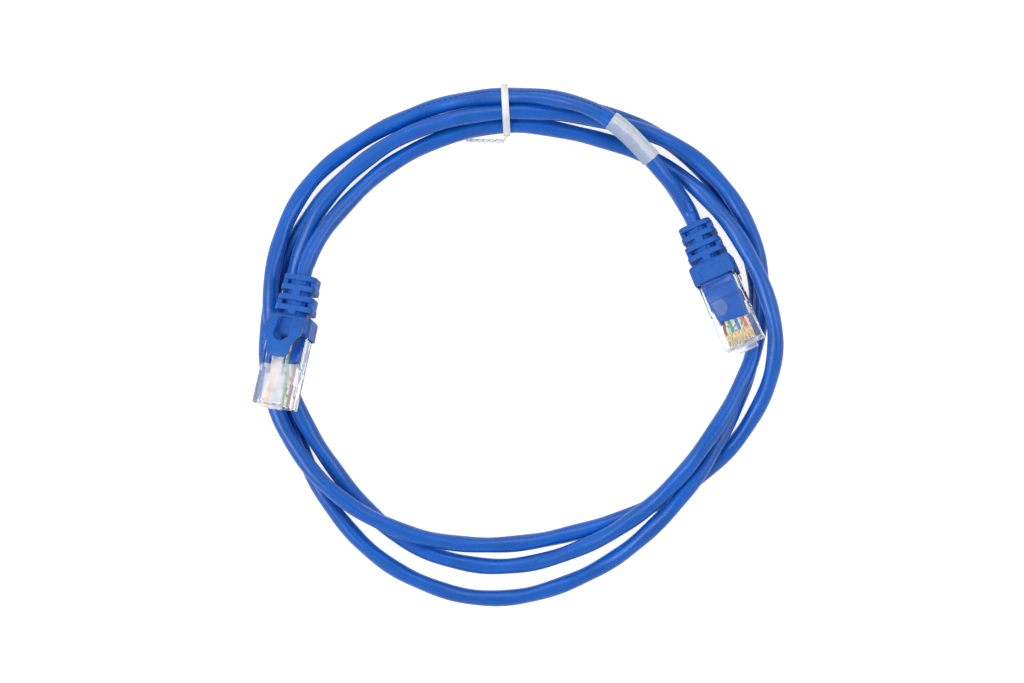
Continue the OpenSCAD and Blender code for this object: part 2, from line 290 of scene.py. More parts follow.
def thin_out(piece: Object, share: float) -> Object:
    """Keeps only a share of a dense skin's faces.

    Args:
        piece: The piece.
        share: The share that stays.

    Returns:
        The same piece.
    """
    tool = piece.modifiers.new("thin", "DECIMATE")
    tool.ratio = share
    settle(piece)
    shade_smooth(piece)
    return piece


def soften(piece: Object, grain: float, rounds: int) -> Object:
    """Fuses a moulded piece into one skin and rounds its edges.

    Args:
        piece: The piece, in millimetres.
        grain: The size of the skin's cells.
        rounds: How often the skin is smoothed.

    Returns:
        The same piece.
    """
    skin = piece.modifiers.new("skin", "REMESH")
    skin.mode = "VOXEL"
    skin.voxel_size = grain
    skin.use_smooth_shade = True
    ease = piece.modifiers.new("ease", "SMOOTH")
    ease.factor = 0.5
    ease.iterations = rounds
    return settle(piece)


def eased(piece: Object, width: float, segments: int = 2) -> Object:
    """Rounds the sharp edges of a hard moulded piece.

    Args:
        piece: The piece, in millimetres.
        width: The width of the rounding.
        segments: Faces across each rounding.

    Returns:
        The same piece.
    """
    bevel = piece.modifiers.new("edges", "BEVEL")
    bevel.width = width
    bevel.segments = segments
    bevel.limit_method = "ANGLE"
    bevel.angle_limit = math.radians(35)
    settle(piece)
    shade_smooth(piece, 40)
    return piece


def shade_smooth(piece: Object, angle: float = 180) -> None:
    """Smooths a piece's shading, but not over edges sharper than the angle.

    Args:
        piece: The piece.
        angle: The angle, in degrees; 180 smooths all.
    """
    mesh = piece.data
    mesh.polygons.foreach_set("use_smooth", [True] * len(mesh.polygons))
    if angle < 180:
        mesh.set_sharp_from_angle(angle=math.radians(angle))


def write_values(piece: Object, name: str, values: list[float]) -> None:
    """Keeps a number for each of a piece's points, which its finish reads."""
    piece.data.attributes.new(name, "FLOAT", "POINT").data.foreach_set("value", values)


def dress(piece: Object, finish: Material) -> None:
    """Gives a piece one finish all over."""
    piece.data.materials.clear()
    piece.data.materials.append(finish)


def declare(
    piece: Object, nodes: list[str], finish: Material, body: str = "cable"
) -> Object:
    """Dresses a finished piece, says what it stands for and reports it.

    Args:
        piece: The piece, in its place.
        nodes: The CAD nodes that it replaces.
        finish: Its finish.
        body: The body that it rides on, or nothing where it is blended.

    Returns:
        The piece.
    """
    dress(piece, finish)
    if body:
        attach(piece, body)
    if nodes:
        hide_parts(*nodes)
    LOG.info("%s: %d faces", piece.name, len(piece.data.polygons))
    return piece


# ----------------------------------------------------------------- node trees


class NodeWork:
    """Builds one node tree, a node at a time."""

    def __init__(self, tree: NodeTree) -> None:
        """Starts work on a tree.

        Args:
            tree: The tree.
        """
        self.tree = tree

    def node(self, kind: str, inputs: dict | None = None, **settings: object) -> Node:
        """Adds a node.

        Args:
            kind: The node's type, a shader node's without its ShaderNode prefix.
            inputs: Values or sockets for its inputs, by name or number.
            **settings: Values for its properties.

        Returns:
            The new node.
        """
        made = self.tree.nodes.new(kind if "Node" in kind else "ShaderNode" + kind)
        for key, value in settings.items():
            setattr(made, key, value)
        for key, value in (inputs or {}).items():
            self.feed(made.inputs[key], value)
        return made

    def feed(self, socket: NodeSocket, value: object) -> None:
        """Links a socket or sets its value.

        Args:
            socket: The socket.
            value: A socket to link from, or a value.
        """
        if isinstance(value, NodeSocket):
            self.tree.links.new(value, socket)
        else:
            socket.default_value = value

    def math(self, how: str, a: object, b: object = 0.0) -> NodeSocket:
        """Adds one step of arithmetic and gives its result."""
        return self.node("Math", {0: a, 1: b}, operation=how).outputs[0]

    def ramp(
        self, fac: object, low: float, high: float, to: Span = (0.0, 1.0)
    ) -> NodeSocket:
        """Maps low to high onto another span, clamped."""
        return self.node("MapRange", {0: fac, 1: low, 2: high, 3: to[0], 4: to[1]}).outputs[0]

    def mix(self, fac: object, a: object, b: object) -> NodeSocket:
        """Mixes two colours.

        Args:
            fac: How much of the second colour shows.
            a: The first colour.
            b: The second.

        Returns:
            The mixed colour.
        """
        made = self.node("Mix", data_type="RGBA")
        self.feed(made.inputs[0], fac)
        self.feed(made.inputs[6], a)
        self.feed(made.inputs[7], b)
        return made.outputs[2]


class GroupTree(NodeWork):
    """Builds one Geometry Nodes tree, which ends in a mesh with its finish."""

    def __init__(self, name: str, inputs: dict[str, str]) -> None:
        """Starts a tree.

        Args:
            name: The tree's name.
            inputs: Its inputs beside the geometry, each with the kind of its socket.
        """
        super().__init__(bpy.data.node_groups.new(name, "GeometryNodeTree"))
        for label, kind in {"Geometry": "Geometry", **inputs}.items():
            self.tree.interface.new_socket(label, in_out="INPUT", socket_type="NodeSocket" + kind)
        self.tree.interface.new_socket(
            "Geometry", in_out="OUTPUT", socket_type="NodeSocketGeometry"
        )
        self.start = self.tree.nodes.new("NodeGroupInput").outputs

    def close(self, shape: Node) -> NodeTree:
        """Ends the tree, with the Finish input on what the last node makes.

        Args:
            shape: The last node.

        Returns:
            The tree.
        """
        real = self.node("GeometryNodeRealizeInstances", {0: shape.outputs[0]})
        inputs = {0: real.outputs[0], "Material": self.start["Finish"]}
        paint = self.node("GeometryNodeSetMaterial", inputs)
        self.node("NodeGroupOutput", {0: paint.outputs[0]})
        return self.tree


def strand_tree(sides: int = 12) -> NodeTree:
    """Builds the tree that turns a line into a round strand.

    Args:
        sides: Points round the strand.

    Returns:
        The tree, with Radius and Finish as its inputs.
    """
    work = GroupTree("round_strand", {"Radius": "Float", "Finish": "Material"})
    curve = work.node("GeometryNodeMeshToCurve", {0: work.start["Geometry"]})
    size = {"Resolution": sides, "Radius": work.start["Radius"]}
    ring = work.node("GeometryNodeCurvePrimitiveCircle", size)
    lines = {"Curve": curve.outputs[0], "Profile Curve": ring.outputs[0], "Fill Caps": True}
    tube = work.node("GeometryNodeCurveToMesh", lines)
    return work.close(work.node("GeometryNodeSetShadeSmooth", {0: tube.outputs[0]}))


def row_tree() -> NodeTree:
    """Builds the tree that repeats a shape along a line, each a little wider.

    Returns:
        The tree, with Shape, Count, Step, Widen and Finish as its inputs.
    """
    kinds = {"Shape": "Object", "Count": "Int", "Step": "Vector", "Widen": "Float"}
    work = GroupTree("shape_row", {**kinds, "Finish": "Material"})
    start = work.start
    line = work.node("GeometryNodeMeshLine", {"Count": start["Count"], "Offset": start["Step"]})
    shape = work.node("GeometryNodeObjectInfo", {"Object": start["Shape"]})
    index = work.node("GeometryNodeInputIndex").outputs[0]
    grow = work.node("Math", {0: index, 1: start["Widen"], 2: 1.0}, operation="MULTIPLY_ADD")
    scale = work.node("CombineXYZ", {0: 1.0, 1: grow.outputs[0], 2: 1.0})
    parts = {
        "Points": line.outputs[0],
        "Instance": shape.outputs["Geometry"],
        "Scale": scale.outputs[0],
    }
    return work.close(work.node("GeometryNodeInstanceOnPoints", parts))


@dataclass
class Trees:
    """The Geometry Nodes trees that the pieces share."""

    strand: NodeTree = field(default_factory=strand_tree)
    row: NodeTree = field(default_factory=row_tree)


def grown(
    piece: Object, tree: NodeTree, inputs: dict[str, object]
) -> Object:
    """Runs a Geometry Nodes tree on a piece and keeps what it makes.

    Args:
        piece: The piece that carries the tree.
        tree: The tree.
        inputs: Values for its inputs, by name.

    Returns:
        The piece, as a plain mesh.
    """
    tool = piece.modifiers.new(tree.name, "NODES")
    tool.node_group = tree
    for item in tree.interface.items_tree:
        if item.in_out == "INPUT" and item.name in inputs:
            tool[item.identifier] = inputs[item.name]
    return settle(piece)


# ------------------------------------------------------------------- finishes


class Paint(NodeWork):
    """Builds one node material on the standard skin."""

    def __init__(self, name: str) -> None:
        """Starts a material.

        Args:
            name: The material's name.
        """
        self.material = bpy.data.materials.new(name)
        self.material.use_nodes = True
        super().__init__(self.material.node_tree)
        self.skin = self.tree.nodes["Principled BSDF"]
        self.output = self.tree.nodes["Material Output"]

    def place(self) -> NodeSocket:
        """Gives the place on the object, in millimetres."""
        where = self.node("TexCoord").outputs["Object"]
        return self.node("VectorMath", {0: where, 3: 1 / MM}, operation="SCALE").outputs[0]

    def value(self, name: str) -> NodeSocket:
        """Gives the number that the piece keeps at each point under a name."""
        return self.node("Attribute", attribute_name=name).outputs["Fac"]

    def cloud(self, where: object, scale: float, detail: float = 3.0) -> NodeSocket:
        """Adds soft noise and gives its value."""
        return self.node("TexNoise", {"Vector": where, "Scale": scale, "Detail": detail}).outputs[0]

    def uneven(self, fac: object, spread: float, level: object) -> NodeSocket:
        """Gives a level that rises by a spread with a factor."""
        return self.math("ADD", self.math("MULTIPLY", fac, spread), level)

    def bump(self, height: object, strength: float, distance: float) -> None:
        """Presses a height into the skin."""
        inputs = {"Height": height, "Strength": strength, "Distance": distance}
        self.set(Normal=self.node("Bump", inputs).outputs[0])

    def set(self, **values: object) -> None:
        """Sets the skin's sockets, with spaces written as underscores."""
        for key, value in values.items():
            self.feed(self.skin.inputs[key.replace("_", " ")], value)


def rgba(colour: Colour, strength: float = 1.0) -> tuple[float, float, float, float]:
    """Gives a colour with its alpha."""
    return (colour[0] * strength, colour[1] * strength, colour[2] * strength, 1.0)


@dataclass(frozen=True)
class CordVinyl:
    """The cord's glossy jacket, with plain printer's ticks along parts of it."""

    name: str = "cord_vinyl"
    colour: Colour = (0.003, 0.118, 0.560)
    roughness: float = 0.25
    ticks: tuple[Span, ...] = ()
    tick_step: float = 1.6
    tick_length: float = 0.95
    tick_side: Span = (58.0, 66.0)

    def build(self) -> Material:
        """Builds the material. It reads the jacket's along and around attributes.

        Returns:
            The material.
        """
        p = Paint(self.name)
        where = p.place()
        along, around = p.value("along"), p.value("around")
        blotch = p.ramp(p.cloud(where, 0.09, 4.0), 0.35, 0.7)
        base = p.mix(blotch, rgba(self.colour, 0.88), rgba(self.colour, 1.12))
        ink: object = 0.0
        for low, high in self.ticks:
            ink = p.math("MAXIMUM", ink, self.between(p, along, low, high))
        phase = p.math("MODULO", along, self.tick_step)
        ink = p.math("MULTIPLY", ink, p.math("LESS_THAN", phase, self.tick_length))
        ink = p.math("MULTIPLY", ink, self.between(p, around, *self.tick_side))
        worn = p.ramp(p.cloud(where, 1.7, 2.0), 0.3, 0.45)
        ink = p.math("MULTIPLY", ink, p.math("MULTIPLY", worn, 0.85))
        p.set(Base_Color=p.mix(ink, base, rgba((0.006, 0.010, 0.03))))
        scuff = p.ramp(p.cloud(where, 0.3, 4.0), 0.3, 0.75)
        p.set(Roughness=p.uneven(scuff, 0.10, self.roughness), Specular_IOR_Level=0.45)
        p.bump(p.cloud(where, 0.30, 1.0), 0.22, 0.0003)
        return p.material

    @staticmethod
    def between(p: Paint, value: object, low: float, high: float) -> NodeSocket:
        """Gives 1 where a value lies between two others."""
        above = p.math("GREATER_THAN", value, low)
        return p.math("MULTIPLY", above, p.math("LESS_THAN", value, high))


@dataclass(frozen=True)
class MouldedVinyl:
    """Satin moulded plastic with a fine grain and faint pale specks."""

    name: str
    colour: Colour
    roughness: float = 0.46
    grain: float = 0.22
    specks: float = 0.0

    def build(self) -> Material:
        """Builds the material.

        Returns:
            The material.
        """
        p = Paint(self.name)
        where = p.place()
        tone = p.ramp(p.cloud(where, 0.35, 4.0), 0.3, 0.7)
        base = p.mix(tone, rgba(self.colour, 0.92), rgba(self.colour, 1.06))
        speck = p.math("MULTIPLY", p.ramp(p.cloud(where, 5.0, 2.0), 0.58, 0.7), self.specks)
        r, g, b = self.colour
        base = p.mix(speck, base, rgba((r + 0.12, g + 0.14, b + 0.14)))
        p.set(Base_Color=base, Specular_IOR_Level=0.28)
        worn = p.ramp(p.cloud(where, 1.4, 5.0), 0.3, 0.8)
        p.set(Roughness=p.uneven(worn, 0.14, self.roughness - 0.06))
        fine = p.math("MULTIPLY", p.cloud(where, 2.0, 2.0), 0.7)
        p.bump(p.math("ADD", p.cloud(where, 9.0, 3.0), fine), self.grain, 0.0001)
        return p.material


@dataclass(frozen=True)
class ClearPlastic:
    """Clear polycarbonate with faint flow marks, which lets light through to its inside."""

    name: str
    colour: Colour = (0.97, 0.98, 1.0)
    roughness: float = 0.0
    index: float = 1.34
    haze: float = 0.0
    cover: float = 1.0

    def build(self) -> Material:
        """Builds the material.

        Returns:
            The material.
        """
        p = Paint(self.name)
        where = p.place()
        streak = p.ramp(p.cloud(where, 0.5, 3.0), 0.3, 0.75)
        p.set(Base_Color=p.mix(streak, rgba(self.colour, 0.98), rgba(self.colour, 1.0)))
        p.set(Transmission_Weight=1.0 - self.haze, IOR=self.index)
        p.set(Roughness=p.uneven(streak, 0.02, self.roughness))
        path = p.node("LightPath")
        lit = p.math("MAXIMUM", path.outputs["Is Shadow Ray"], path.outputs["Is Diffuse Ray"])
        p.set(Alpha=p.math("SUBTRACT", self.cover, p.math("MULTIPLY", lit, 0.9 * self.cover)))
        p.bump(p.cloud(where, 0.6, 2.0), 0.03, 0.0002)
        return p.material


@dataclass(frozen=True)
class Plated:
    """A plated or drawn metal with fine scratches."""

    name: str
    colour: Colour
    roughness: float = 0.25

    def build(self) -> Material:
        """Builds the material.

        Returns:
            The material.
        """
        p = Paint(self.name)
        where = p.place()
        tone = p.ramp(p.cloud(where, 1.5, 3.0), 0.3, 0.7)
        p.set(Base_Color=p.mix(tone, rgba(self.colour, 0.88), rgba(self.colour, 1.05)))
        p.set(Metallic=1.0)
        p.set(Roughness=p.uneven(p.cloud(where, 6.0), 0.2, self.roughness - 0.1))
        p.bump(p.cloud(where, 8.0, 2.0), 0.1, 0.0001)
        return p.material


@dataclass(frozen=True)
class Insulation:
    """A wire's insulation, plain or white with a colour's stripe."""

    name: str
    colour: Colour
    striped: bool = False

    def build(self) -> Material:
        """Builds the material.

        Returns:
            The material.
        """
        p = Paint(self.name)
        where = p.place()
        cloudy = p.ramp(p.cloud(where, 1.2, 3.0), 0.3, 0.7)
        if self.striped:
            tone = p.ramp(p.cloud(where, 0.9, 1.0), 0.54, 0.62)
            base = p.mix(tone, rgba((0.80, 0.80, 0.79)), rgba(self.colour))
        else:
            base = p.mix(cloudy, rgba(self.colour, 0.85), rgba(self.colour, 1.1))
        p.set(Base_Color=base)
        p.set(Roughness=p.uneven(cloudy, 0.1, 0.36))
        p.bump(p.cloud(where, 2.5, 2.0), 0.08, 0.0002)
        return p.material


@dataclass(frozen=True)
class MilkyFilm:
    """The marker's thin film, whiter towards one side, with darker streaks of painted shade along
    its creases.
    """

    name: str = "marker_film"

    def build(self) -> Material:
        """Builds the material. It reads the film's around attribute.

        Returns:
            The material.
        """
        p = Paint(self.name)
        where = p.place()
        around = p.value("around")
        cloudy = p.ramp(p.cloud(where, 0.5, 4.0), 0.3, 0.7)
        white = p.ramp(p.uneven(cloudy, 0.16, around), 0.42, 0.66)
        base = p.mix(white, rgba((0.56, 0.66, 0.86)), rgba((0.80, 0.86, 0.95)))
        # Darker bluish streaks along the creases: painted shade in the film's folds.
        turned = p.math("ADD", p.math("MULTIPLY", around, 30.0), p.math("MULTIPLY", cloudy, 3.0))
        crease = p.ramp(p.math("SINE", turned), 0.55, 1.0)
        base = p.mix(p.math("MULTIPLY", crease, 0.45), base, rgba((0.34, 0.47, 0.78)))
        p.set(Base_Color=base)
        p.set(Roughness=p.uneven(cloudy, 0.15, 0.2), Alpha=p.uneven(white, 0.20, 0.64))
        p.bump(p.cloud(where, 1.1, 3.0), 0.2, 0.0003)
        return p.material


# ------------------------------------------------------------------- the cord


@dataclass
class CordCoil:
    """The cord: its route round the coil and its jacket, in metres."""

    coil_radius: float = 0.0565
    diameter: float = 0.0045
    turn_gap: float = 0.00045
    rest_share: float = 0.4
    centre: Span = (0.002, -0.0094)
    first_station: float = 144.0
    station_step: float = 24.0
    stiffness_length: float = 0.005
    jacket_in: float = 0.0138
    sides: int = 28
    swell_level: float = 1.030
    twist_swell: float = 0.036
    slow_swell: float = 0.055
    slow_rate: float = 85.0
    slow_reach: float = 0.6
    twist_length: float = 0.034
    # Degrees wound from the left plug between which the jacket is printed
    printed: tuple[Span, ...] = ((-962, -1010), (-182, -176), (-207, -200))
    # Lane and layer of the cord at each station
    lay: tuple[Span, ...] = (
        (1.65, 1.3), (1.6, 0.4), (1.5, 0.5), (1.6, 0.1), (2.4, 0.1),
        (2.92, 2.05), (3.6, 2.02), (2.6, 0.1), (1.0, 0.0), (0.1, 0.0),
        (0.4, 0.1), (1.3, 0.9), (2.5, 1.1), (3.3, 0.8), (3.35, 0.0),
        (3.0, 0.0), (2.7, 0.0), (2.6, 0.3), (3.2, 0.0), (3.6, 0.0),
        (3.4, 0.0), (2.5, 0.0), (1.6, 0.8), (1.7, 1.05), (2.6, 0.0),
        (3.6, 0.0), (3.6, 0.0), (3.0, 0.0), (2.4, 0.0), (2.3, 0.4),
        (2.7, 1.1), (2.6, 1.1), (2.3, 1.35), (2.6, 1.0), (3.7, 1.03),
        (3.72, 1.06), (2.5, 1.05), (1.0, 1.8), (0.7, 1.3), (1.0, 0.6),
        (1.7, 0.0), (1.9, 0.0), (1.6, 0.0), (2.1, 1.15), (3.4, 1.2),
        (4.15, 0.4), (3.6, 0.5), (3.4, 1.3), (3.0, 2.2), (1.6, 1.6),
    )  # fmt: skip
    tie_angle: float = 93.0
    tie_reach: float = 16.0
    tie_pull: float = 0.13
    tie_lane: float = 2.2
    free_line: list[Vector] = field(default_factory=list)
    line: list[Vector] = field(default_factory=list)

    @property
    def pitch(self) -> float:
        """The room that one turn takes."""
        return self.diameter + self.turn_gap

    @property
    def floor(self) -> float:
        """The height of the centreline where the cord lies on the surface."""
        return self.rest_share * self.diameter

    def polar(self, angle: float, lane: float, height: float) -> Vector:
        """Gives a point round the coil from its angle, lane and height.

        Args:
            angle: The angle round the coil, in degrees.
            lane: The place across the strands, in pitches.
            height: The height over the floor.

        Returns:
            The point.
        """
        r = self.coil_radius + lane * self.pitch
        a = math.radians(angle)
        x, y = self.centre
        return Vector((x + r * math.cos(a), y + r * math.sin(a), height))

    def seen_from_centre(self, point: Vector) -> Span:
        """Gives a point's distance from the coil's centre and its angle."""
        x, y = point.x - self.centre[0], point.y - self.centre[1]
        return Vector((x, y)).length, math.degrees(math.atan2(y, x))

    def stations(self, left: "PlugPose", right: "PlugPose") -> list[Vector]:
        """Lists the points that the route passes, from boot to boot.

        Args:
            left: Where the left plug lies.
            right: Where the right plug lies.

        Returns:
            The points.
        """
        out = [left.origin - self.diameter * left.forward]
        for k, (lane, layer) in enumerate(self.lay):
            angle = self.first_station - self.station_step * k
            out.append(self.polar(angle, lane, self.floor + layer * self.pitch))
        return out + [right.origin - self.diameter * right.forward]

    def follow(self, left: "PlugPose", right: "PlugPose") -> list[Vector]:
        """Works out the smooth centreline, a point every millimetre.

        Args:
            left: Where the left plug lies.
            right: Where the right plug lies.

        Returns:
            The centreline's points, from inside one boot to inside the other.
        """
        knots = self.stations(left, right)
        spans = [(b - a).length for a, b in zip(knots, knots[1:])]
        chords = [(b - a) / d for a, b, d in zip(knots, knots[1:], spans)]
        slopes = [-left.forward]
        for i in range(1, len(knots) - 1):
            d0, d1 = spans[i - 1], spans[i]
            slopes.append((chords[i - 1] * d1 + chords[i] * d0) / (d0 + d1))
        slopes.append(right.forward.copy())
        raw = []
        for i, d in enumerate(spans):
            steps = max(4, round(2 * d / LINE_STEP))
            for j in range(steps):
                t = j / steps
                a, b = 2 * t**3 - 3 * t**2 + 1, t**3 - 2 * t**2 + t
                point = a * knots[i] + b * d * slopes[i] + (1 - a) * knots[i + 1]
                point += (t**3 - t**2) * d * slopes[i + 1]
                point.z = max(point.z, self.floor)
                raw.append(point)
        raw.append(knots[-1])
        return self.with_ends(self.relaxed(self.evenly(raw, LINE_STEP)), left, right)

    def tied(self, points: list[Vector]) -> list[Vector]:
        """Draws the strands together near the tie.

        Args:
            points: The free line.

        Returns:
            The tied line.
        """
        middle = self.coil_radius + self.tie_lane * self.pitch
        x, y = self.centre
        out = []
        for p in points:
            distance, angle = self.seen_from_centre(p)
            off = (angle - self.tie_angle) / self.tie_reach
            scale = 1 + self.tie_pull * math.exp(-(off**2)) * (middle / distance - 1)
            out.append(Vector((x + (p.x - x) * scale, y + (p.y - y) * scale, p.z)))
        return out

    @staticmethod
    def evenly(points: list[Vector], step: float) -> list[Vector]:
        """Spaces points evenly along the line that they follow.

        Args:
            points: The line's points.
            step: The new spacing.

        Returns:
            The new points.
        """
        out, left = [points[0].copy()], step
        for a, b in zip(points, points[1:]):
            d, done = (b - a).length, 0.0
            while d - done >= left:
                done += left
                out.append(a + (b - a) * (done / d))
                left = step
            left -= d - done
        return out

    def relaxed(self, points: list[Vector]) -> list[Vector]:
        """Lets the cord's own stiffness ease its bends.

        Args:
            points: The line's points.

        Returns:
            The eased points.
        """
        reach = round(3 * self.stiffness_length / LINE_STEP)
        turns = range(-reach, reach + 1)
        weights = [math.exp(-0.5 * (k * LINE_STEP / self.stiffness_length) ** 2) for k in turns]
        total = sum(weights)
        first, last = points[0], points[-1]
        lead, tail = first - points[1], last - points[-2]
        before = [first + lead * k for k in range(reach, 0, -1)]
        padded = before + points + [last + tail * k for k in range(1, reach + 1)]
        out = []
        for i in range(len(points)):
            near = (padded[i + k] * w for k, w in enumerate(weights))
            out.append(sum(near, Vector((0, 0, 0))) / total)
        return out

    def with_ends(
        self, points: list[Vector], left: "PlugPose", right: "PlugPose"
    ) -> list[Vector]:
        """Runs the line straight on into each boot.

        Args:
            points: The line between the boots.
            left: Where the left plug lies.
            right: Where the right plug lies.

        Returns:
            The line from inside one boot to inside the other.
        """
        reach = self.jacket_in + self.diameter
        count = round(reach / LINE_STEP)
        head, foot = (
            [plug.origin + plug.forward * (self.jacket_in - reach * k / count) for k in range(count)]
            for plug in (left, right)
        )
        return head + points + foot[::-1]

    def build(self, left: "PlugPose", right: "PlugPose") -> Object:
        """Args:
            left: Where the left plug lies.
            right: Where the right plug lies.

        Returns:
            The cord.
        """
        self.free_line = self.follow(left, right)
        self.line = self.tied(self.free_line)
        piece = sweep("cord_jacket", self.line, self.diameter / 2, self.sides, self.swell)
        declare(piece, ["jacket"], CordVinyl(ticks=tuple(self.ticked())).build())
        return piece

    def swell(self, along: float, angle: float) -> float:
        """Gives how far the twisted pairs swell the jacket, as a factor.

        Args:
            along: The way along the cord.
            angle: The angle round it.

        Returns:
            The factor on its radius.
        """
        twist = math.sin(2 * (angle + math.tau * along / self.twist_length))
        turned = Vector((0, math.cos(angle), math.sin(angle))) * self.slow_reach
        slow = noise.noise(Vector((along * self.slow_rate, turned.y, turned.z)))
        return self.swell_level + self.twist_swell * twist + self.slow_swell * slow

    def ticked(self) -> list[Span]:
        """Finds where the printed stretches lie along the cord, in millimetres.

        Returns:
            Where each stretch starts and ends.
        """
        angles = [self.seen_from_centre(p)[1] for p in self.line]
        wound, run, table = angles[1], 0.0, []
        for i in range(1, len(self.line)):
            wound += (angles[i] - angles[max(i - 1, 1)] + 180) % 360 - 180
            run += (self.line[i] - self.line[i - 1]).length / MM
            table.append((wound, run))
        out = []
        for turns in self.printed:
            inside = [r for w, r in table if min(turns) < w < max(turns)]
            out.append((min(inside), max(inside)))
        return out


def run_length(points: list[Vector]) -> float:
    """Gives the length of a line of points."""
    return sum((b - a).length for a, b in zip(points, points[1:]))


def across(line: list[Vector], i: int) -> tuple[Vector, Vector]:
    """Gives the directions aside of and above a line at one of its points.

    Args:
        line: The line's points.
        i: The point's number.

    Returns:
        The two directions.
    """
    ahead = (line[min(i + 1, len(line) - 1)] - line[max(i - 1, 0)]).normalized()
    aside = Vector((0, 0, 1)).cross(ahead).normalized()
    return aside, ahead.cross(aside)


def sweep(
    name: str,
    line: list[Vector],
    radius: float,
    sides: int,
    swell: Callable[[float, float], float],
) -> Object:
    """Builds a closed tube along a line, with along and around attributes.

    Args:
        name: The object's name.
        line: The centreline.
        radius: The tube's radius.
        sides: Points in each ring.
        swell: Gives the radius's scale from the way along and the angle.

    Returns:
        The tube, with smooth shading.
    """
    rings, along_of, around_of = [], [], []
    run = 0.0
    for i, p in enumerate(line):
        if i:
            run += (p - line[i - 1]).length
        aside, up = across(line, i)
        rings.append([])
        for k in range(sides):
            a = math.tau * k / sides
            r = radius * swell(run, a)
            at = p + aside * (r * math.cos(a)) + up * (r * math.sin(a))
            at.z = max(at.z, FLOOR_GAP)
            rings[-1].append(at)
            along_of.append(run / MM)
            around_of.append((math.degrees(a) + 90) % 360 - 90)
    made = loft(name, rings)
    write_values(made, "along", along_of)
    write_values(made, "around", around_of)
    shade_smooth(made, 60)
    return made


# ------------------------------------------------------------------ the plugs


@dataclass
class PlugPose:
    """Where a plug lies: its boot's rear and its attitude, in metres and degrees."""

    end: End
    origin: Vector
    roll: float
    lift: float
    heading: float

    @property
    def turn(self) -> Matrix:
        """The plug's rotation.

        Returns:
            The heading, the lift and the roll as one matrix.
        """
        return (
            Matrix.Rotation(math.radians(self.heading), 4, "Z")
            @ Matrix.Rotation(math.radians(-self.lift), 4, "Y")
            @ Matrix.Rotation(math.radians(self.roll), 4, "X")
        )

    @property
    def forward(self) -> Vector:
        """The way that the plug's nose points."""
        return (self.turn @ Vector((1, 0, 0))).normalized()

    @property
    def matrix(self) -> Matrix:
        """Takes the plug's own millimetres to its place in metres."""
        return Matrix.Translation(self.origin) @ self.turn @ Matrix.Scale(MM, 4)


# The wires across the plug, each with its colour or its stripe's
WIRES: dict[str, Colour] = {
    "wire_white_orange": (0.85, 0.20, 0.08),
    "wire_orange": (0.86, 0.20, 0.12),
    "wire_white_green": (0.10, 0.45, 0.15),
    "wire_blue": (0.09, 0.24, 0.50),
    "wire_white_blue": (0.12, 0.25, 0.60),
    "wire_green": (0.10, 0.45, 0.18),
    "wire_white_brown": (0.32, 0.12, 0.05),
    "wire_brown": (0.30, 0.14, 0.09),
}


def smooth_line(knots: list[Vector], steps: int) -> list[Vector]:
    """Runs a smooth line through a few points.

    Args:
        knots: The points.
        steps: Pieces between two of them.

    Returns:
        The line's points.
    """
    out = []
    for i in range(len(knots) - 1):
        p0, p1, p2 = knots[max(i - 1, 0)], knots[i], knots[i + 1]
        p3 = knots[min(i + 2, len(knots) - 1)]
        for j in range(steps):
            t = j / steps
            slope = (p2 - p0) * t + (2 * p0 - 5 * p1 + 4 * p2 - p3) * t * t
            out.append(0.5 * (2 * p1 + slope + (3 * p1 - p0 - 3 * p2 + p3) * t**3))
    return out + [knots[-1].copy()]


@dataclass(frozen=True)
class PlugSizes:
    """The plug's sizes in millimetres, along X from the boot's rear, latch up."""

    width: float = 11.68
    height: float = 6.5
    length: float = 21.5
    boot_length: float = 17.8
    boot_over: float = 1.0
    boot_width: float = 12.9
    boot_height: float = 8.6
    boot_edge: float = 0.9
    rib_count: int = 4
    rib_pitch: float = 3.0
    rib_thickness: float = 1.6
    rib_width: float = 9.8
    rib_height: float = 8.0
    sleeve: float = 6.6
    cord: float = 4.5
    cord_room: float = 0.12
    housing_room: float = 0.1
    contacts: int = 8
    contact_pitch: float = 1.02
    blade_shown: float = 0.6
    contact_sunk: float = 0.45
    contact_length: float = 3.2
    contact_back: float = 0.6
    wire: float = 0.84
    wire_z: float = -1.35
    key_width: float = 6.0
    key_length: float = 8.5
    key_out: float = 1.1
    tail_width: float = 3.25
    latch_length: float = 16.0
    latch_thickness: float = 1.2
    latch_rest: float = 13.0
    hood_reach: float = 25.4
    hood_half: float = 3.4

    @property
    def housing_from(self) -> float:
        """Where the housing starts, under the boot's front."""
        return self.boot_length - self.boot_over

    @property
    def nose(self) -> float:
        """The nose's place along the plug."""
        return self.housing_from + self.length

    @property
    def body_from(self) -> float:
        """Where the boot's body starts, behind it the ribs."""
        return self.rib_count * self.rib_pitch

    @property
    def hood_root(self) -> Span:
        """The hood's hinge, along and up."""
        return (self.boot_length - 2.7, 6.3)

    @property
    def latch_root(self) -> Span:
        """The latch's hinge, along and up."""
        return (self.nose - 1.2, self.height / 2 + 0.9)

    @property
    def contact_span(self) -> Span:
        """Where the contacts start and end."""
        end = self.nose - self.contact_back
        return (end - self.contact_length, end)

    def row(self, index: int) -> float:
        """Gives the place across the plug of a contact, counted from 1."""
        return (index - (self.contacts + 1) / 2) * self.contact_pitch


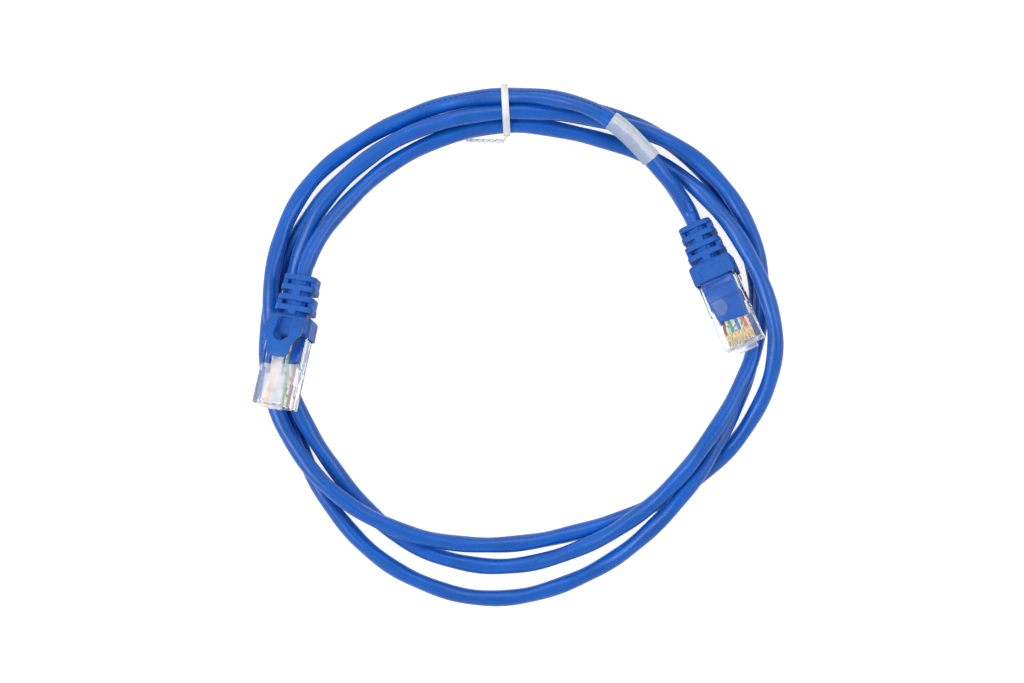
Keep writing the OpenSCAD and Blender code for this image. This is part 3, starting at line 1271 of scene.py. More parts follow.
@dataclass
class PlugPart:
    """What every part of a plug shares."""

    pose: PlugPose
    trees: Trees
    finishes: dict[str, Material]
    sizes: PlugSizes = field(default_factory=PlugSizes)

    @property
    def side(self) -> str:
        """The plug's side, as its nodes are named."""
        return self.pose.end.value

    def place(
        self, piece: Object, nodes: list[str], finish: str, slot: str, body: str = "cable"
    ) -> Object:
        """Places a finished piece and declares what it stands for.

        Args:
            piece: The piece, in the plug's own millimetres.
            nodes: The CAD nodes that it replaces.
            finish: The name of its finish.
            slot: Not used.
            body: The body that it rides on, or nothing where it is blended.

        Returns:
            The piece.
        """
        piece.data.transform(self.pose.matrix)
        return declare(piece, nodes, self.finishes[finish], body)


@dataclass
class Boot(PlugPart):
    """The boot: ribbed sleeve, body and the springy hood, moulded in one."""

    rib_from: float = 0.12
    rib_corner: float = 2.3
    rib_step_in: float = 1.2
    bridge_from: float = 0.9
    bridge_half: float = 1.15
    bridge_wall: float = 1.48
    bridge_inset: float = 0.12
    tooth_count: int = 16
    tooth_radii: tuple[float, ...] = (0.2, 0.25, 0.3)
    # Half the hood's width, at places back from its tip
    hood_plan: tuple[Span, ...] = (
        (-10.8, 4.9), (-8.2, 5.6), (-7.4, 5.6), (-5.2, 4.3), (-3.5, 3.55), (-2.0, 3.4),
    )  # fmt: skip
    tip_round: float = 1.9
    trough_from: float = 1.7
    trough_to: float = 6.2
    trough_half: Span = (2.3, 1.75)
    trough_depth: Span = (7.05, 5.3)
    dish_back: float = 4.75
    above: float = 14.0
    grain: float = 0.105
    smoothing: int = 4
    faces_kept: float = 0.4

    @property
    def rib_growth(self) -> float:
        """How much wider each rib is than the one behind it."""
        s = self.sizes
        return (s.boot_width - self.rib_step_in - s.rib_width) / s.rib_count

    def build_ribs(self) -> Object:
        """Builds the strain relief's ribs as a row.

        Returns:
            The ribs, as one piece.
        """
        s = self.sizes
        outline = rounded(s.rib_width, s.rib_height, self.rib_corner, 8)
        end = self.rib_from + s.rib_thickness
        shape = prism("rib_shape", outline, self.rib_from, end, Axis.X)
        carrier = mesh_object("rib_row", [(0, 0, 0)], [])
        inputs = {
            "Shape": shape,
            "Count": s.rib_count,
            "Step": (s.rib_pitch, 0.0, 0.0),
            "Widen": self.rib_growth / s.rib_width,
        }
        grown(carrier, self.trees.row, inputs)
        remove([shape])
        return carrier

    def build_bridges(self) -> list[Object]:
        """Builds the links between the ribs, in turn at the sides and the middle.

        Returns:
            The links.
        """
        s = self.sizes
        out = []
        half = s.rib_height / 2
        for i in range(s.rib_count):
            start = i * s.rib_pitch + self.bridge_from
            x = (start, start + s.rib_pitch)
            if i % 2:
                out.append(box("bridge", x, both_ways(self.bridge_half), both_ways(half - 0.05)))
                continue
            edge = (s.rib_width + i * self.rib_growth) / 2 - self.bridge_inset
            for sign in (-1, 1):
                y = to_side(sign, edge - self.bridge_wall, edge)
                out.append(box("bridge", x, y, both_ways(half - 1.5)))
        return out

    def build_teeth(self) -> list[Object]:
        """Builds the small grip teeth that show between the ribs.

        Returns:
            The teeth.
        """
        s = self.sizes
        out = []
        r = s.sleeve / 2 - 0.02
        for k in range(self.tooth_count):
            a = math.tau * (k + 0.5) / self.tooth_count
            size = self.tooth_radii[k % len(self.tooth_radii)]
            at = (r * math.cos(a), r * math.sin(a))
            out.append(rod("tooth", at, size, 0.4, s.body_from, Axis.X, 8))
        return out

    def build_body(self) -> Object:
        """Builds the boot's body behind and round the housing's rear.

        Returns:
            The body.
        """
        s = self.sizes
        x, w, h = s.body_from, s.boot_width, s.boot_height
        # Place along, width, height and corner radius
        steps = (
            (x, w - 1.6, h - 0.9, 1.3),
            (x + 0.25, w - 0.8, h - 0.3, 1.2),
            (x + 0.8, w - 0.15, h, s.boot_edge),
            (s.boot_length, w, h, s.boot_edge),
        )
        return loft(
            "boot_body", [[(at, y, z) for y, z in rounded(*size, 5)] for at, *size in steps]
        )

    def build_saddle(self) -> Object:
        """Builds the deck that rises from the ribs to the hood, with sloped shoulders.

        Returns:
            The deck.
        """
        b, foot = self.sizes.body_from, 1.5
        rings = []
        # Place along, base half width and height, top half width and height, lean
        for x, base, low, top, high, lean in (
            (b + 0.02, 5.7, 3.6, 5.5, 4.4, 0.0),
            (b + 0.35, 5.9, 3.9, 5.6, 5.4, 0.0),
            (b + 0.9, 6.05, 4.0, 5.5, 6.3, 0.0),
            (b + 1.9, 6.2, 4.1, 5.3, 7.05, 0.0),
            (b + 3.2, 6.25, 4.2, 5.05, 7.75, 0.0),
            (b + 4.5, 6.3, 4.1, 4.95, 8.35, 0.0),
            (b + 5.8, 6.3, 3.9, 4.95, 8.75, -0.15),
        ):
            wall = base - 0.35
            half = [
                (base, foot),
                (wall, low),
                (wall - 0.2 * (base - top), low + 0.4 * (high - low)),
                (top, high),
                (0.55 * top, high + 0.13),
            ]
            ring = half + [(0.0, high + 0.16)] + [(-y, z) for y, z in reversed(half)]
            rings.append([(x + lean * (z - foot), y, z) for y, z in ring])
        return loft("saddle", rings)

    def hood_width(self, x: float) -> float:
        """Gives half the hood's width at a place along it.

        Args:
            x: The place along the plug.

        Returns:
            Half the width there.
        """
        d = x - self.sizes.hood_reach
        for (x0, w0), (x1, w1) in zip(self.hood_plan, self.hood_plan[1:]):
            if d <= x1:
                t = max(0.0, (d - x0) / (x1 - x0))
                return w0 + (w1 - w0) * t * t * (3 - 2 * t)
        return self.sizes.hood_half

    def build_hood(self) -> Object:
        """Builds the hood's tongue, with a blunt round tip.

        Returns:
            The tongue.
        """
        s = self.sizes
        x, z = s.hood_root
        tip, blunt = s.hood_reach, self.tip_round
        start = tip + self.hood_plan[0][0]
        side = [
            (start, z - 0.4), (start, z + 1.3), (x + 0.6, z + 1.78), (x + 1.7, z + 2.3),
            (x + 3.2, z + 2.75), (x + 5.0, z + 3.02), (x + 7.0, z + 3.12), (tip - 1.2, z + 3.05),
            (tip - 0.2, z + 2.9), (tip + 0.1, z + 2.6), (tip + 0.1, z + 2.25), (tip - 4.6, z + 2.2),
            (x + 3.6, z + 1.6), (x + 1.6, z + 0.4),
        ]  # fmt: skip
        steps, edge = 24, []
        for k in range(steps + 1):
            at = start + (tip - blunt - start) * k / steps
            edge.append((at, self.hood_width(at)))
        for k in range(1, 12):
            a = math.radians(90 - 90 * k / 11)
            at = tip - blunt + blunt * math.cos(a) ** 0.8
            edge.append((at, s.hood_half * math.sin(a) ** 0.8))
        plan = edge + [(at, -w) for at, w in reversed(edge[:-1])]
        shell = prism("hood_plan", plan, z - 2, z + 6, Axis.Z)
        profile = prism("hood_profile", side, *both_ways(s.boot_width), Axis.Y)
        return combine(shell, [profile], "INTERSECT")

    def build_trough(self) -> list[Object]:
        """Builds the cuts of the hood's sloped trough, its dished rim and its window.

        Returns:
            The solids that are cut from the boot.
        """
        s = self.sizes
        b, top = s.body_from, self.above
        x0, x1 = b + self.trough_from, b + self.trough_to
        (h0, h1), (z0, z1) = self.trough_half, self.trough_depth
        plan = [(x0, -h0), (x1, -h1), (x1, h1), (x0, h0)]
        trough = prism("trough", plan, 3.0, top, Axis.Z)
        floor = [(x0 + 0.1, z0), (x1, z1), (x1, top), (x0 + 0.1, top)]
        combine(trough, [prism("trough_floor", floor, *both_ways(4), Axis.Y)], "INTERSECT")

        def opening(half: float, end: float, z: float) -> list[tuple[float, float, float]]:
            """Gives the ring of the rim at a height, round at its front end.

            Args:
                half: Half the rim's width.
                end: Where it ends.
                z: Its height.

            Returns:
                The ring's points.
            """
            out = [(b + 1.5, 0.1 - half), (end - half, -half)]
            for k in range(1, 16):
                a = math.radians(-90 + 180 * k / 16)
                out.append((end - half + half * math.cos(a), half * math.sin(a)))
            out += [(end - half, half), (b + 1.5, half - 0.1)]
            return [(x, y, z) for x, y in out]

        end = s.hood_reach - self.dish_back
        rims = ((1.78, end - 0.3, 5.6), (2.05, end - 0.15, 8.2), (2.7, end + 0.3, 10.2))
        dish = loft("dish", [opening(*rim) for rim in rims])
        edge = [(x1 - 0.1, 1.7), (x1 + 0.5, 1.65), (end - 0.6, 1.3), (end - 0.1, 0.6)]
        hole = [(x, -y) for x, y in edge] + edge[::-1]
        return [trough, dish, prism("window", hole, 3.0, top, Axis.Z)]

    def build(self) -> Object:
        """Builds the boot and its hood as one soft skin.

        Returns:
            The boot.
        """
        s = self.sizes
        skin = self.build_body()
        sleeve = rod("sleeve", (0, 0), s.sleeve / 2, 0.1, s.body_from + 1, Axis.X)
        front = s.boot_length
        lip = box("lip", (front - 1.3, front + 0.5), both_ways(1.8), (3.5, 6.2))
        solids = [self.build_saddle(), self.build_hood(), lip, sleeve, self.build_ribs()]
        combine(skin, solids + self.build_bridges() + self.build_teeth(), "UNION")
        low, room = -s.boot_height / 2, s.housing_room
        seat = (both_ways(s.width / 2 + room), both_ways(s.height / 2 + room))
        cuts = [
            box("panel", (s.body_from + 1.9, front + 1), (-4.1, 3.7), (low - 1, low + 0.2)),
            rod("bore", (0, 0), s.cord / 2 + s.cord_room, -1, 14, Axis.X),
            box("pocket", (13.9, front + 1), both_ways(4.05), (-2.15, 1.65)),
            box("seat", (s.housing_from - 0.05, front + 1), *seat),
        ]
        combine(skin, cuts + self.build_trough(), "DIFFERENCE")
        soften(skin, self.grain, self.smoothing)
        thin_out(skin, self.faces_kept)
        skin.name = f"{self.side}_boot_moulding"
        self.place(skin, [f"{self.side}_boot", f"{self.side}_hood"], "boot", "boot", "")
        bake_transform(skin)
        return skin


@dataclass
class ClearShell(PlugPart):
    """The clear parts: the housing, its relief flap, the latch and the contacts' bed."""

    key_radius: float = 0.8
    # The housing's roof beyond these takes the milky finish: the softboxes' whitish reflection,
    # painted as a haze on the clear plastic.
    milky_sheen_from: float = 8.4
    milky_sheen_lean: float = 0.12
    milky_sheen_above: float = 1.6
    flap_at: Span = (8.5, 2.3)
    flap_radius: float = 2.3
    comb_rib: float = 0.28

    def build_housing(self) -> Object:
        """Builds the housing with its cavity, slots and key.

        Returns:
            The housing.
        """
        s = self.sizes
        h, w, b, n = s.height / 2, s.width / 2, s.boot_length, s.nose
        (root, root_z), (start, end) = s.latch_root, s.contact_span
        shell = box(f"{self.side}_housing_shell", (s.housing_from, n), both_ways(w), both_ways(h))
        key_z = (h - 1.0, root_z + self.key_radius)
        key = box("key", (root, n + s.key_out), both_ways(s.key_width / 2), key_z)
        combine(shell, [key], "UNION")
        eased(shell, 0.25, 3)
        wire_z = s.wire_z
        cuts = [
            box("rear", (s.housing_from - 1, b + 8.7), both_ways(4.95), (-2.65, 1.65)),
            box("middle", (b + 8.6, b + 13.6), both_ways(4.45), (-2.4, 1.65)),
            box("slot", (b + 13, n - 0.4), both_ways(4.1), (wire_z - 0.5, wire_z + 0.5)),
            box("window", (b + 6.2, b + 8.5), both_ways(3.2), (-h - 1, -2.9)),
            rod("cradle", (root, root_z), self.key_radius + 0.01, *both_ways(3.5), Axis.Y),
        ]
        half = s.blade_shown / 2 + 0.025
        for i in range(1, s.contacts + 1):
            y = (s.row(i) - half, s.row(i) + half)
            cuts.append(box("blade", (start - 0.05, end + 0.05), y, (-h - 1, wire_z)))
            cuts.append(box("comb", (end, n + 1), y, (-h - 1, wire_z - 0.9)))
        for sign in (-1, 1):
            y = to_side(sign, w - 0.5, w + 1)
            cuts.append(box("notch", (b + 9.6, b + 11.2), y, (-h + 1.0, h - 1.2)))
        combine(shell, cuts, "DIFFERENCE")
        roof = self.split_roof(shell)
        self.place(shell, [f"{self.side}_housing"], "clear", "clear")
        # The roof's faces take the milky finish: a painted whitish reflection haze, not the clear
        # plastic's own colour.
        shell.data.materials.append(self.finishes["milky"])
        for k in roof:
            shell.data.polygons[k].material_index = 1
        return shell

    def split_roof(self, shell: Object) -> list[int]:
        """Cuts the housing's faces where its painted whitish reflection haze starts.

        Args:
            shell: The housing, in the plug's own millimetres.

        Returns:
            The numbers of the roof's faces in front of the cut.
        """
        start, lean = self.sizes.boot_length + self.milky_sheen_from, self.milky_sheen_lean
        work = bmesh.new()
        work.from_mesh(shell.data)
        whole = [*work.verts, *work.edges, *work.faces]
        bmesh.ops.bisect_plane(work, geom=whole, plane_co=(start, 0, 0), plane_no=(1, lean, 0))
        work.to_mesh(shell.data)
        work.free()
        shade_smooth(shell, 30)
        roof = []
        for k, face in enumerate(shell.data.polygons):
            x, y, z = face.center
            if z > self.milky_sheen_above and x + lean * y > start:
                roof.append(k)
        return roof

    def build_latch(self) -> Object:
        """Builds the latch: its root, wide key and narrow tail.

        Returns:
            The latch.
        """
        s = self.sizes
        t = s.latch_thickness / 2
        shoulder = -(s.key_length - (s.nose - s.latch_root[0]))
        wide = rounded(s.key_width, 2 * t, 0.25)
        narrow = rounded(s.tail_width, 2 * t, 0.25)
        lever = prism(f"{self.side}_latch_lever", wide, shoulder, 0, Axis.X)
        tail = prism("tail", narrow, -s.latch_length, shoulder + 0.5, Axis.X)
        combine(lever, [tail], "UNION")
        scoop = ((-s.latch_length - 1, 6 - s.latch_length), (-1.0, 1.0), (t - 0.3, t + 1))
        combine(lever, [box("scoop", *scoop)], "DIFFERENCE")
        lever.data.transform(Matrix.Rotation(math.radians(s.latch_rest), 4, "Y"))
        pin = rod("pin", (0, 0), self.key_radius - 0.05, *both_ways(s.key_width / 2), Axis.Y)
        combine(lever, [pin], "UNION")
        eased(lever, 0.08, 2)
        lever.data.transform(Matrix.Translation((s.latch_root[0], 0, s.latch_root[1])))
        body = f"{self.side}_latch_body"
        # The latch wears the same milky finish that paints the roof's whitish reflection haze.
        return self.place(lever, [f"{self.side}_latch"], "milky", "clear", body)

    def build_flap(self) -> Object:
        """Builds the cloudy half-round flap of the strain relief.

        Returns:
            The flap.
        """
        b, r = self.sizes.boot_length, self.flap_radius
        x, y = b + self.flap_at[0], self.flap_at[1]
        outline = [(b + 6.1, 3.9), (b + 6.1, 1.2)]
        for k in range(13):
            a = math.radians(-130 + 175 * k / 12)
            outline.append((x + r * math.cos(a), y + r * math.sin(a)))
        outline.append((b + 8.9, 3.9))
        flap = prism(f"{self.side}_relief_flap", outline, -2.92, -2.7, Axis.Z)
        bar = box("flap_bar", (b + 6.2, b + 8.3), (0.7, 3.85), (-3.0, -2.8))
        combine(flap, [bar], "UNION")
        return self.place(flap, [], "flap", "clear")

    def build_bed(self) -> Object:
        """Builds the pale bed between the wires and the contacts' outer edges.

        Returns:
            The bed.
        """
        s = self.sizes
        start, end = s.contact_span
        span = (start - 0.15, end + 0.15)
        bed = box(f"{self.side}_contact_bed", span, both_ways(4.05), (-2.05, -1.87))
        ribs = []
        for i in range(1, s.contacts):
            middle = s.row(i) + 0.5 * s.contact_pitch
            y = (middle - self.comb_rib / 2, middle + self.comb_rib / 2)
            ribs.append(box("rib", span, y, (-2.75, -1.9)))
        combine(bed, ribs, "UNION")
        return self.place(bed, [], "bed", "clear")

    def build(self) -> None:
        """Builds the clear parts."""
        self.build_housing()
        self.build_latch()
        self.build_flap()
        self.build_bed()


@dataclass
class Core(PlugPart):
    """What the housing holds: the insert, the contacts and the wires."""

    channel_floor: float = -1.88
    # Where each band of the insert starts and ends, from the boot's front, and its height
    bands: tuple[tuple[float, float, float], ...] = (
        (0.0, 2.6, -1.95), (2.6, 6.0, -2.62), (6.0, 8.7, -1.95),
    )  # fmt: skip
    band_width: float = 9.8
    tooth_from: tuple[float, ...] = (2.2, 0.75)

    def build_insert(self) -> Object:
        """Builds the moulded insert, a trough with bands and a slanted front.

        Returns:
            The insert.
        """
        b, low = self.sizes.boot_length, self.channel_floor
        width = both_ways(self.band_width / 2)
        core, *parts = [box("band", (b + x0, b + x1), width, (z, 1.6)) for x0, x1, z in self.bands]
        outline = [
            (8.6, -4.35), (13.3, -4.2), (12.9, 0.0), (12.4, 3.1),
            (13.4, 3.6), (13.4, 3.95), (10.9, 4.3), (8.6, 4.35),
        ]  # fmt: skip
        front = prism("front", [(b + x, y) for x, y in outline], -2.25, -0.4, Axis.Z)
        pegs = [rod("peg", (b + 1.2, y), 0.6, -2.58, 0, Axis.Z) for y in both_ways(3.9)]
        tail = box("tail", (14.05, b + 0.5), both_ways(4), (-2.1, 1.6))
        combine(core, [*parts, front, tail, *pegs], "UNION")
        cuts = [
            box("channel", (b + 0.2, b + 9), both_ways(1.85), (low, 2.6)),
            box("fan", (b + 5.5, b + 14), both_ways(4.12), (low, 0.6)),
            prism("front_curve", self.front_curve(), 0.5, 3, Axis.Z),
        ]
        combine(core, cuts, "DIFFERENCE")
        core.name = f"{self.side}_insert_core"
        eased(core, 0.1, 2)
        return self.place(core, [f"{self.side}_insert"], "insert", "insert")

    def front_curve(self) -> Outline:
        """Gives the cut that rounds the front of the insert's cover.

        Returns:
            The cut's outline.
        """
        b = self.sizes.boot_length
        out = [(b + 15, -6.0), (b + 15, 6.0), (b + 5.4, 6.0)]
        for k in range(17):
            y = 5.0 - 10.0 * k / 16
            out.append((b + 8.1 - 0.075 * y * y, y))
        return out + [(b + 5.4, -6.0)]

    def build_contacts(self) -> Object:
        """Builds the row of contact blades, each with two teeth.

        Returns:
            The row, as one piece.
        """
        s = self.sizes
        low = -s.height / 2 + s.contact_sunk
        top = s.wire_z - s.wire / 2 - 0.05
        x0, x1 = s.contact_span
        outline = [(x0, low), (x1 - 0.5, low), (x1, low + 0.25), (x1, top)]
        tip = s.wire_z + 0.2
        for tooth in self.tooth_from:
            x = x0 + tooth
            outline += [(x + 0.5, top), (x + 0.35, tip), (x + 0.15, tip), (x, top)]
        outline.append((x0, top))
        t = s.blade_shown / 2
        blade = eased(prism("blade", outline, -t, t, Axis.Y), 0.03, 1)
        carrier = mesh_object(f"{self.side}_contact_row", [(0, 0, 0)], [])
        inputs = {
            "Shape": blade,
            "Count": s.contacts,
            "Step": (0.0, s.contact_pitch, 0.0),
            "Widen": 0.0,
            "Finish": self.finishes["contact"],
        }
        grown(carrier, self.trees.row, inputs)
        carrier.data.transform(Matrix.Translation((0, s.row(1), 0)))
        remove([blade])
        nodes = [f"{self.side}_contact_{i}" for i in range(1, s.contacts + 1)]
        return self.place(carrier, nodes, "contact", "contact")

    def build_wire(self, index: int) -> Object:
        """Builds one insulated wire, from the bundle in the trough to the nose.

        Args:
            index: The wire's place in the row, counted from 1.

        Returns:
            The wire.
        """
        s = self.sizes
        b, y, z = s.boot_length, s.row(index), s.wire_z
        drift = 0.2 * math.sin(2.1 * index + 0.7)
        rise = 0.25 * math.cos(1.7 * index)
        # Along, across and up
        knots = [
            (b + 0.3, 0.40 * y, z + 0.9 + 2 * rise),
            (b + 2.6, 0.46 * y + drift, z + 1.1 + 2 * rise),
            (b + 5.2, 0.52 * y - 0.5 * drift, z + 1.1 + rise),
            (b + 8.0, 0.72 * y + 0.4 * drift, z + 0.6 + rise),
            (b + 11.0, 0.9 * y + drift, z + 0.1),
            (b + 13.4, 0.93 * y + 0.7 * drift, z + 0.02),
            (b + 15.0, y, z),
            (b + 17.0, y, z),
            (s.nose - 0.5, y, z),
        ]
        points = smooth_line([Vector(p) for p in knots], 6)
        wire = line_object(f"{self.side}_wire_strand_{index}", points)
        name = list(WIRES)[index - 1]
        grown(wire, self.trees.strand, {"Radius": s.wire / 2, "Finish": self.finishes[name]})
        return self.place(wire, [f"{self.side}_wire_{index}"], name, name)

    def build(self) -> None:
        """Builds the insert, the contacts and the wires."""
        self.build_insert()
        self.build_contacts()
        for index in range(1, self.sizes.contacts + 1):
            self.build_wire(index)


@dataclass
class Plug(PlugPart):
    """One whole plug."""

    def build(self) -> None:
        """Builds the boot, the clear parts and what they hold."""
        for kind in (Boot, ClearShell, Core):
            kind(self.pose, self.trees, self.finishes, self.sizes).build()


# ---------------------------------------------------------- marker and tie


@dataclass
class Marker:
    """The film sleeve near the right plug, in metres; slide counts the line's steps."""

    length: float = 0.0150
    radius: float = 0.00270
    slide: int = 2
    film: float = 0.00013
    sides: int = 36
    # The size, the count round the film and the turn along it of each crease
    creases: tuple[tuple[float, float, float], ...] = ((0.018, 5, 2.2), (0.012, 9, -3.0))
    wing: float = 0.07

    def build(self, line: list[Vector], finish: Material) -> Object:
        """Wraps the film round the cord.

        Args:
            line: The cord's centreline.
            finish: The film's material.

        Returns:
            The marker.
        """
        low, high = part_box("marker")
        middle = (low + high) / 2
        at = self.slide + min(range(len(line)), key=lambda k: (line[k] - middle).length)
        half = round(self.length / 2 / LINE_STEP)
        sides, steps, points, around = self.sides, 2 * half, [], []
        for i in range(steps + 1):
            p = line[at - half + i]
            aside, up = across(line, at - half + i)
            for wall in (0.0, self.film):
                for k in range(sides):
                    a = math.tau * k / sides
                    r = (self.radius - wall) * self.flare(i / steps, a)
                    points.append(p + aside * (r * math.cos(a)) + up * (r * math.sin(a)))
                    around.append(0.5 + 0.5 * math.cos(a))
        ring, faces = 2 * sides, []
        for k in range(sides):
            k1 = (k + 1) % sides
            for i in range(steps):
                o, q = i * ring, (i + 1) * ring
                faces.append([o + k, o + k1, q + k1, q + k])
                faces.append([o + sides + k, q + sides + k, q + sides + k1, o + sides + k1])
            for o in (0, steps * ring):
                faces.append([o + k, o + k1, o + sides + k1, o + sides + k])
        made = mesh_object("marker_film", points, faces)
        write_values(made, "around", around)
        shade_smooth(made, 60)
        return declare(made, ["marker"], finish)

    def flare(self, t: float, angle: float) -> float:
        """Gives how far the film stands off along its length and round it.

        Args:
            t: The part of the film's length.
            angle: The angle round it.

        Returns:
            The factor on its radius.
        """
        crease = sum(size * math.sin(n * angle + turn * t) for size, n, turn in self.creases)
        wing = self.wing * max(0.0, math.cos(angle - 0.2)) ** 6
        return 1.0 + crease + wing + 0.05 * max(0.0, t - 0.75) * 4


@dataclass
class TwistTie:
    """The twist tie round the four strands, in metres."""

    width: float = 0.00205
    thickness: float = 0.00042
    ease: float = 0.00019
    loop_gap: float = 0.0001
    steps: int = 48
    # Place across and rise of the band's section, as parts of its width and thickness
    profile: tuple[Span, ...] = (
        (-0.5, 0.25), (-0.44, 0.7), (-0.2, 0.62), (-0.12, 0.9), (0.0, 1.1), (0.12, 0.9),
        (0.2, 0.62), (0.44, 0.7), (0.5, 0.25), (0.44, 0.0), (0.0, 0.0), (-0.44, 0.0),
    )  # fmt: skip
    tail_length: float = 0.011
    tail_width: float = 0.0011
    tail_height: float = 0.0011
    tail_turn: float = 86.0
    twists: int = 3
    # Half the tail's section, as parts of its width
    tail_profile: tuple[Span, ...] = ((0.5, 0.18), (0.12, 0.3), (-0.12, 0.3), (-0.5, 0.18))

    @staticmethod
    def section(coil: CordCoil) -> list[Span]:
        """Lists where the strands pass the tie, as radius and height.

        Args:
            coil: The coil that it ties.

        Returns:
            The strands' places.
        """
        out: list[Span] = []
        was = 0.0
        for p in coil.free_line:
            distance, angle = coil.seen_from_centre(p)
            off = angle - coil.tie_angle
            if was > 0 >= off > -20:
                out.append((distance, p.z))
            was = off
        return out

    def loop(self, strands: list[Span], grow: float) -> list[Vector]:
        """Draws the tight loop round the strands.

        Args:
            strands: Where the strands pass.
            grow: How far the loop stands off their centres.

        Returns:
            The loop's points, as radius and height.
        """
        turns = [math.tau * k / self.steps for k in range(self.steps)]
        ring = [(r + grow * math.cos(a), z + grow * math.sin(a)) for r, z in strands for a in turns]
        cloud = sorted({(round(r, 7), round(z, 7)) for r, z in ring})

        def half(points: list[Span]) -> list[Span]:
            """Gives one side of the hull.

            Args:
                points: The points, in order across.

            Returns:
                The side's points.
            """
            out: list[Span] = []
            for p in points:
                while len(out) > 1:
                    (ax, ay), (bx, by) = out[-2], out[-1]
                    if (bx - ax) * (p[1] - ay) - (by - ay) * (p[0] - ax) > 0:
                        break
                    out.pop()
                out.append(p)
            return out

        hull = half(cloud)[:-1] + half(cloud[::-1])[:-1]
        return [Vector((r, max(z, self.loop_gap), 0)) for r, z in hull]

    def build_band(self, coil: CordCoil, finish: Material) -> Object:
        """Builds the band, flat with a rib over its wire and soft rims.

        Args:
            coil: The coil that it ties.
            finish: The coating's material.

        Returns:
            The band.
        """
        turn = Matrix.Rotation(math.radians(coil.tie_angle), 4, "Z")
        place = Matrix.Translation((*coil.centre, 0)) @ turn
        inner = self.loop(self.section(coil), coil.diameter / 2 + self.ease)
        middle = sum(inner, Vector((0, 0, 0))) / len(inner)
        m, points, faces = len(self.profile), [], []
        for p in inner:
            out = (p - middle).normalized()
            for across_by, rise in self.profile:
                q = p + out * (self.thickness * rise)
                up = max(q.y, self.loop_gap / 2)
                points.append(place @ Vector((q.x, self.width * across_by, up)))
        for i in range(len(inner)):
            o, q = i * m, (i + 1) % len(inner) * m
            faces += [[o + k, q + k, q + (k + 1) % m, o + (k + 1) % m] for k in range(m)]
        band = mesh_object("tie_band", points, faces)
        shade_smooth(band, 50)
        return declare(band, ["tie"], finish)

    def build_tail(self, coil: CordCoil, finish: Material) -> Object:
        """Builds the twisted end, flat stock turned about its length, from the band on.

        Args:
            coil: The coil that it ties.
            finish: The coating's material.

        Returns:
            The twisted end.
        """
        low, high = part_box("tie_tail")
        aim = math.radians(coil.tie_angle + self.tail_turn)
        along = Vector((math.cos(aim), math.sin(aim), 0))
        aside = Vector((-along.y, along.x, 0))
        length, steps, lead = self.tail_length, 72, 10
        start = (low + high) / 2 - along * (length / 2)
        inner = min(self.section(coil))[0] - coil.diameter / 2
        turn = math.radians(coil.tie_angle)
        band = Vector((*coil.centre, self.tail_height))
        band += Vector((inner * math.cos(turn), inner * math.sin(turn), 0))
        profile = [*self.tail_profile, *((-u, -v) for u, v in self.tail_profile)]
        rings = []
        for i in range(-lead, steps + 1):
            t = i / steps
            c, s = math.cos(math.tau * self.twists * t), math.sin(math.tau * self.twists * t)
            size = self.tail_width * min(1.0, 0.8 + 8 * (1 - t))
            at = start + along * (length * max(0.0, t)) + (band - start) * max(0.0, -i / lead)
            ring = []
            for u, v in profile:
                x, y = size * (u * c - v * s), size * (u * s + v * c)
                ring.append(at + aside * x + Vector((0, 0, y)))
            rings.append(ring)
        tail = loft("tie_twisted_end", rings)
        shade_smooth(tail, 50)
        return declare(tail, ["tie_tail"], finish)

    def build(self, coil: CordCoil, finish: Material) -> None:
        """Builds the band and its twisted end."""
        self.build_band(coil, finish)
        self.build_tail(coil, finish)


# ------------------------------------------------------------------ the studio


@dataclass(frozen=True)
class Softbox:
    """One soft lamp, placed by its direction from the coil."""

    name: str
    azimuth: float
    zenith: float
    level: float
    size: float = 0.5
    distance: float = 0.85

    def build(self) -> Object:
        """Builds the lamp, at the power that lights a flat sheet to its level.

        Returns:
            The lamp.
        """
        light = bpy.data.lights.new(self.name, "AREA")
        tilt, turn = math.radians(self.zenith), math.radians(self.azimuth)
        light.energy = self.level * (math.pi * self.distance) ** 2 / math.cos(tilt)
        light.size = self.size
        lamp = bpy.data.objects.new(self.name, light)
        flat = math.sin(tilt)
        way = Vector((flat * math.cos(turn), flat * math.sin(turn), math.cos(tilt)))
        lamp.location = way * self.distance
        lamp.rotation_euler = way.to_track_quat("Z", "Y").to_euler()
        bpy.context.scene.collection.objects.link(lamp)
        return lamp


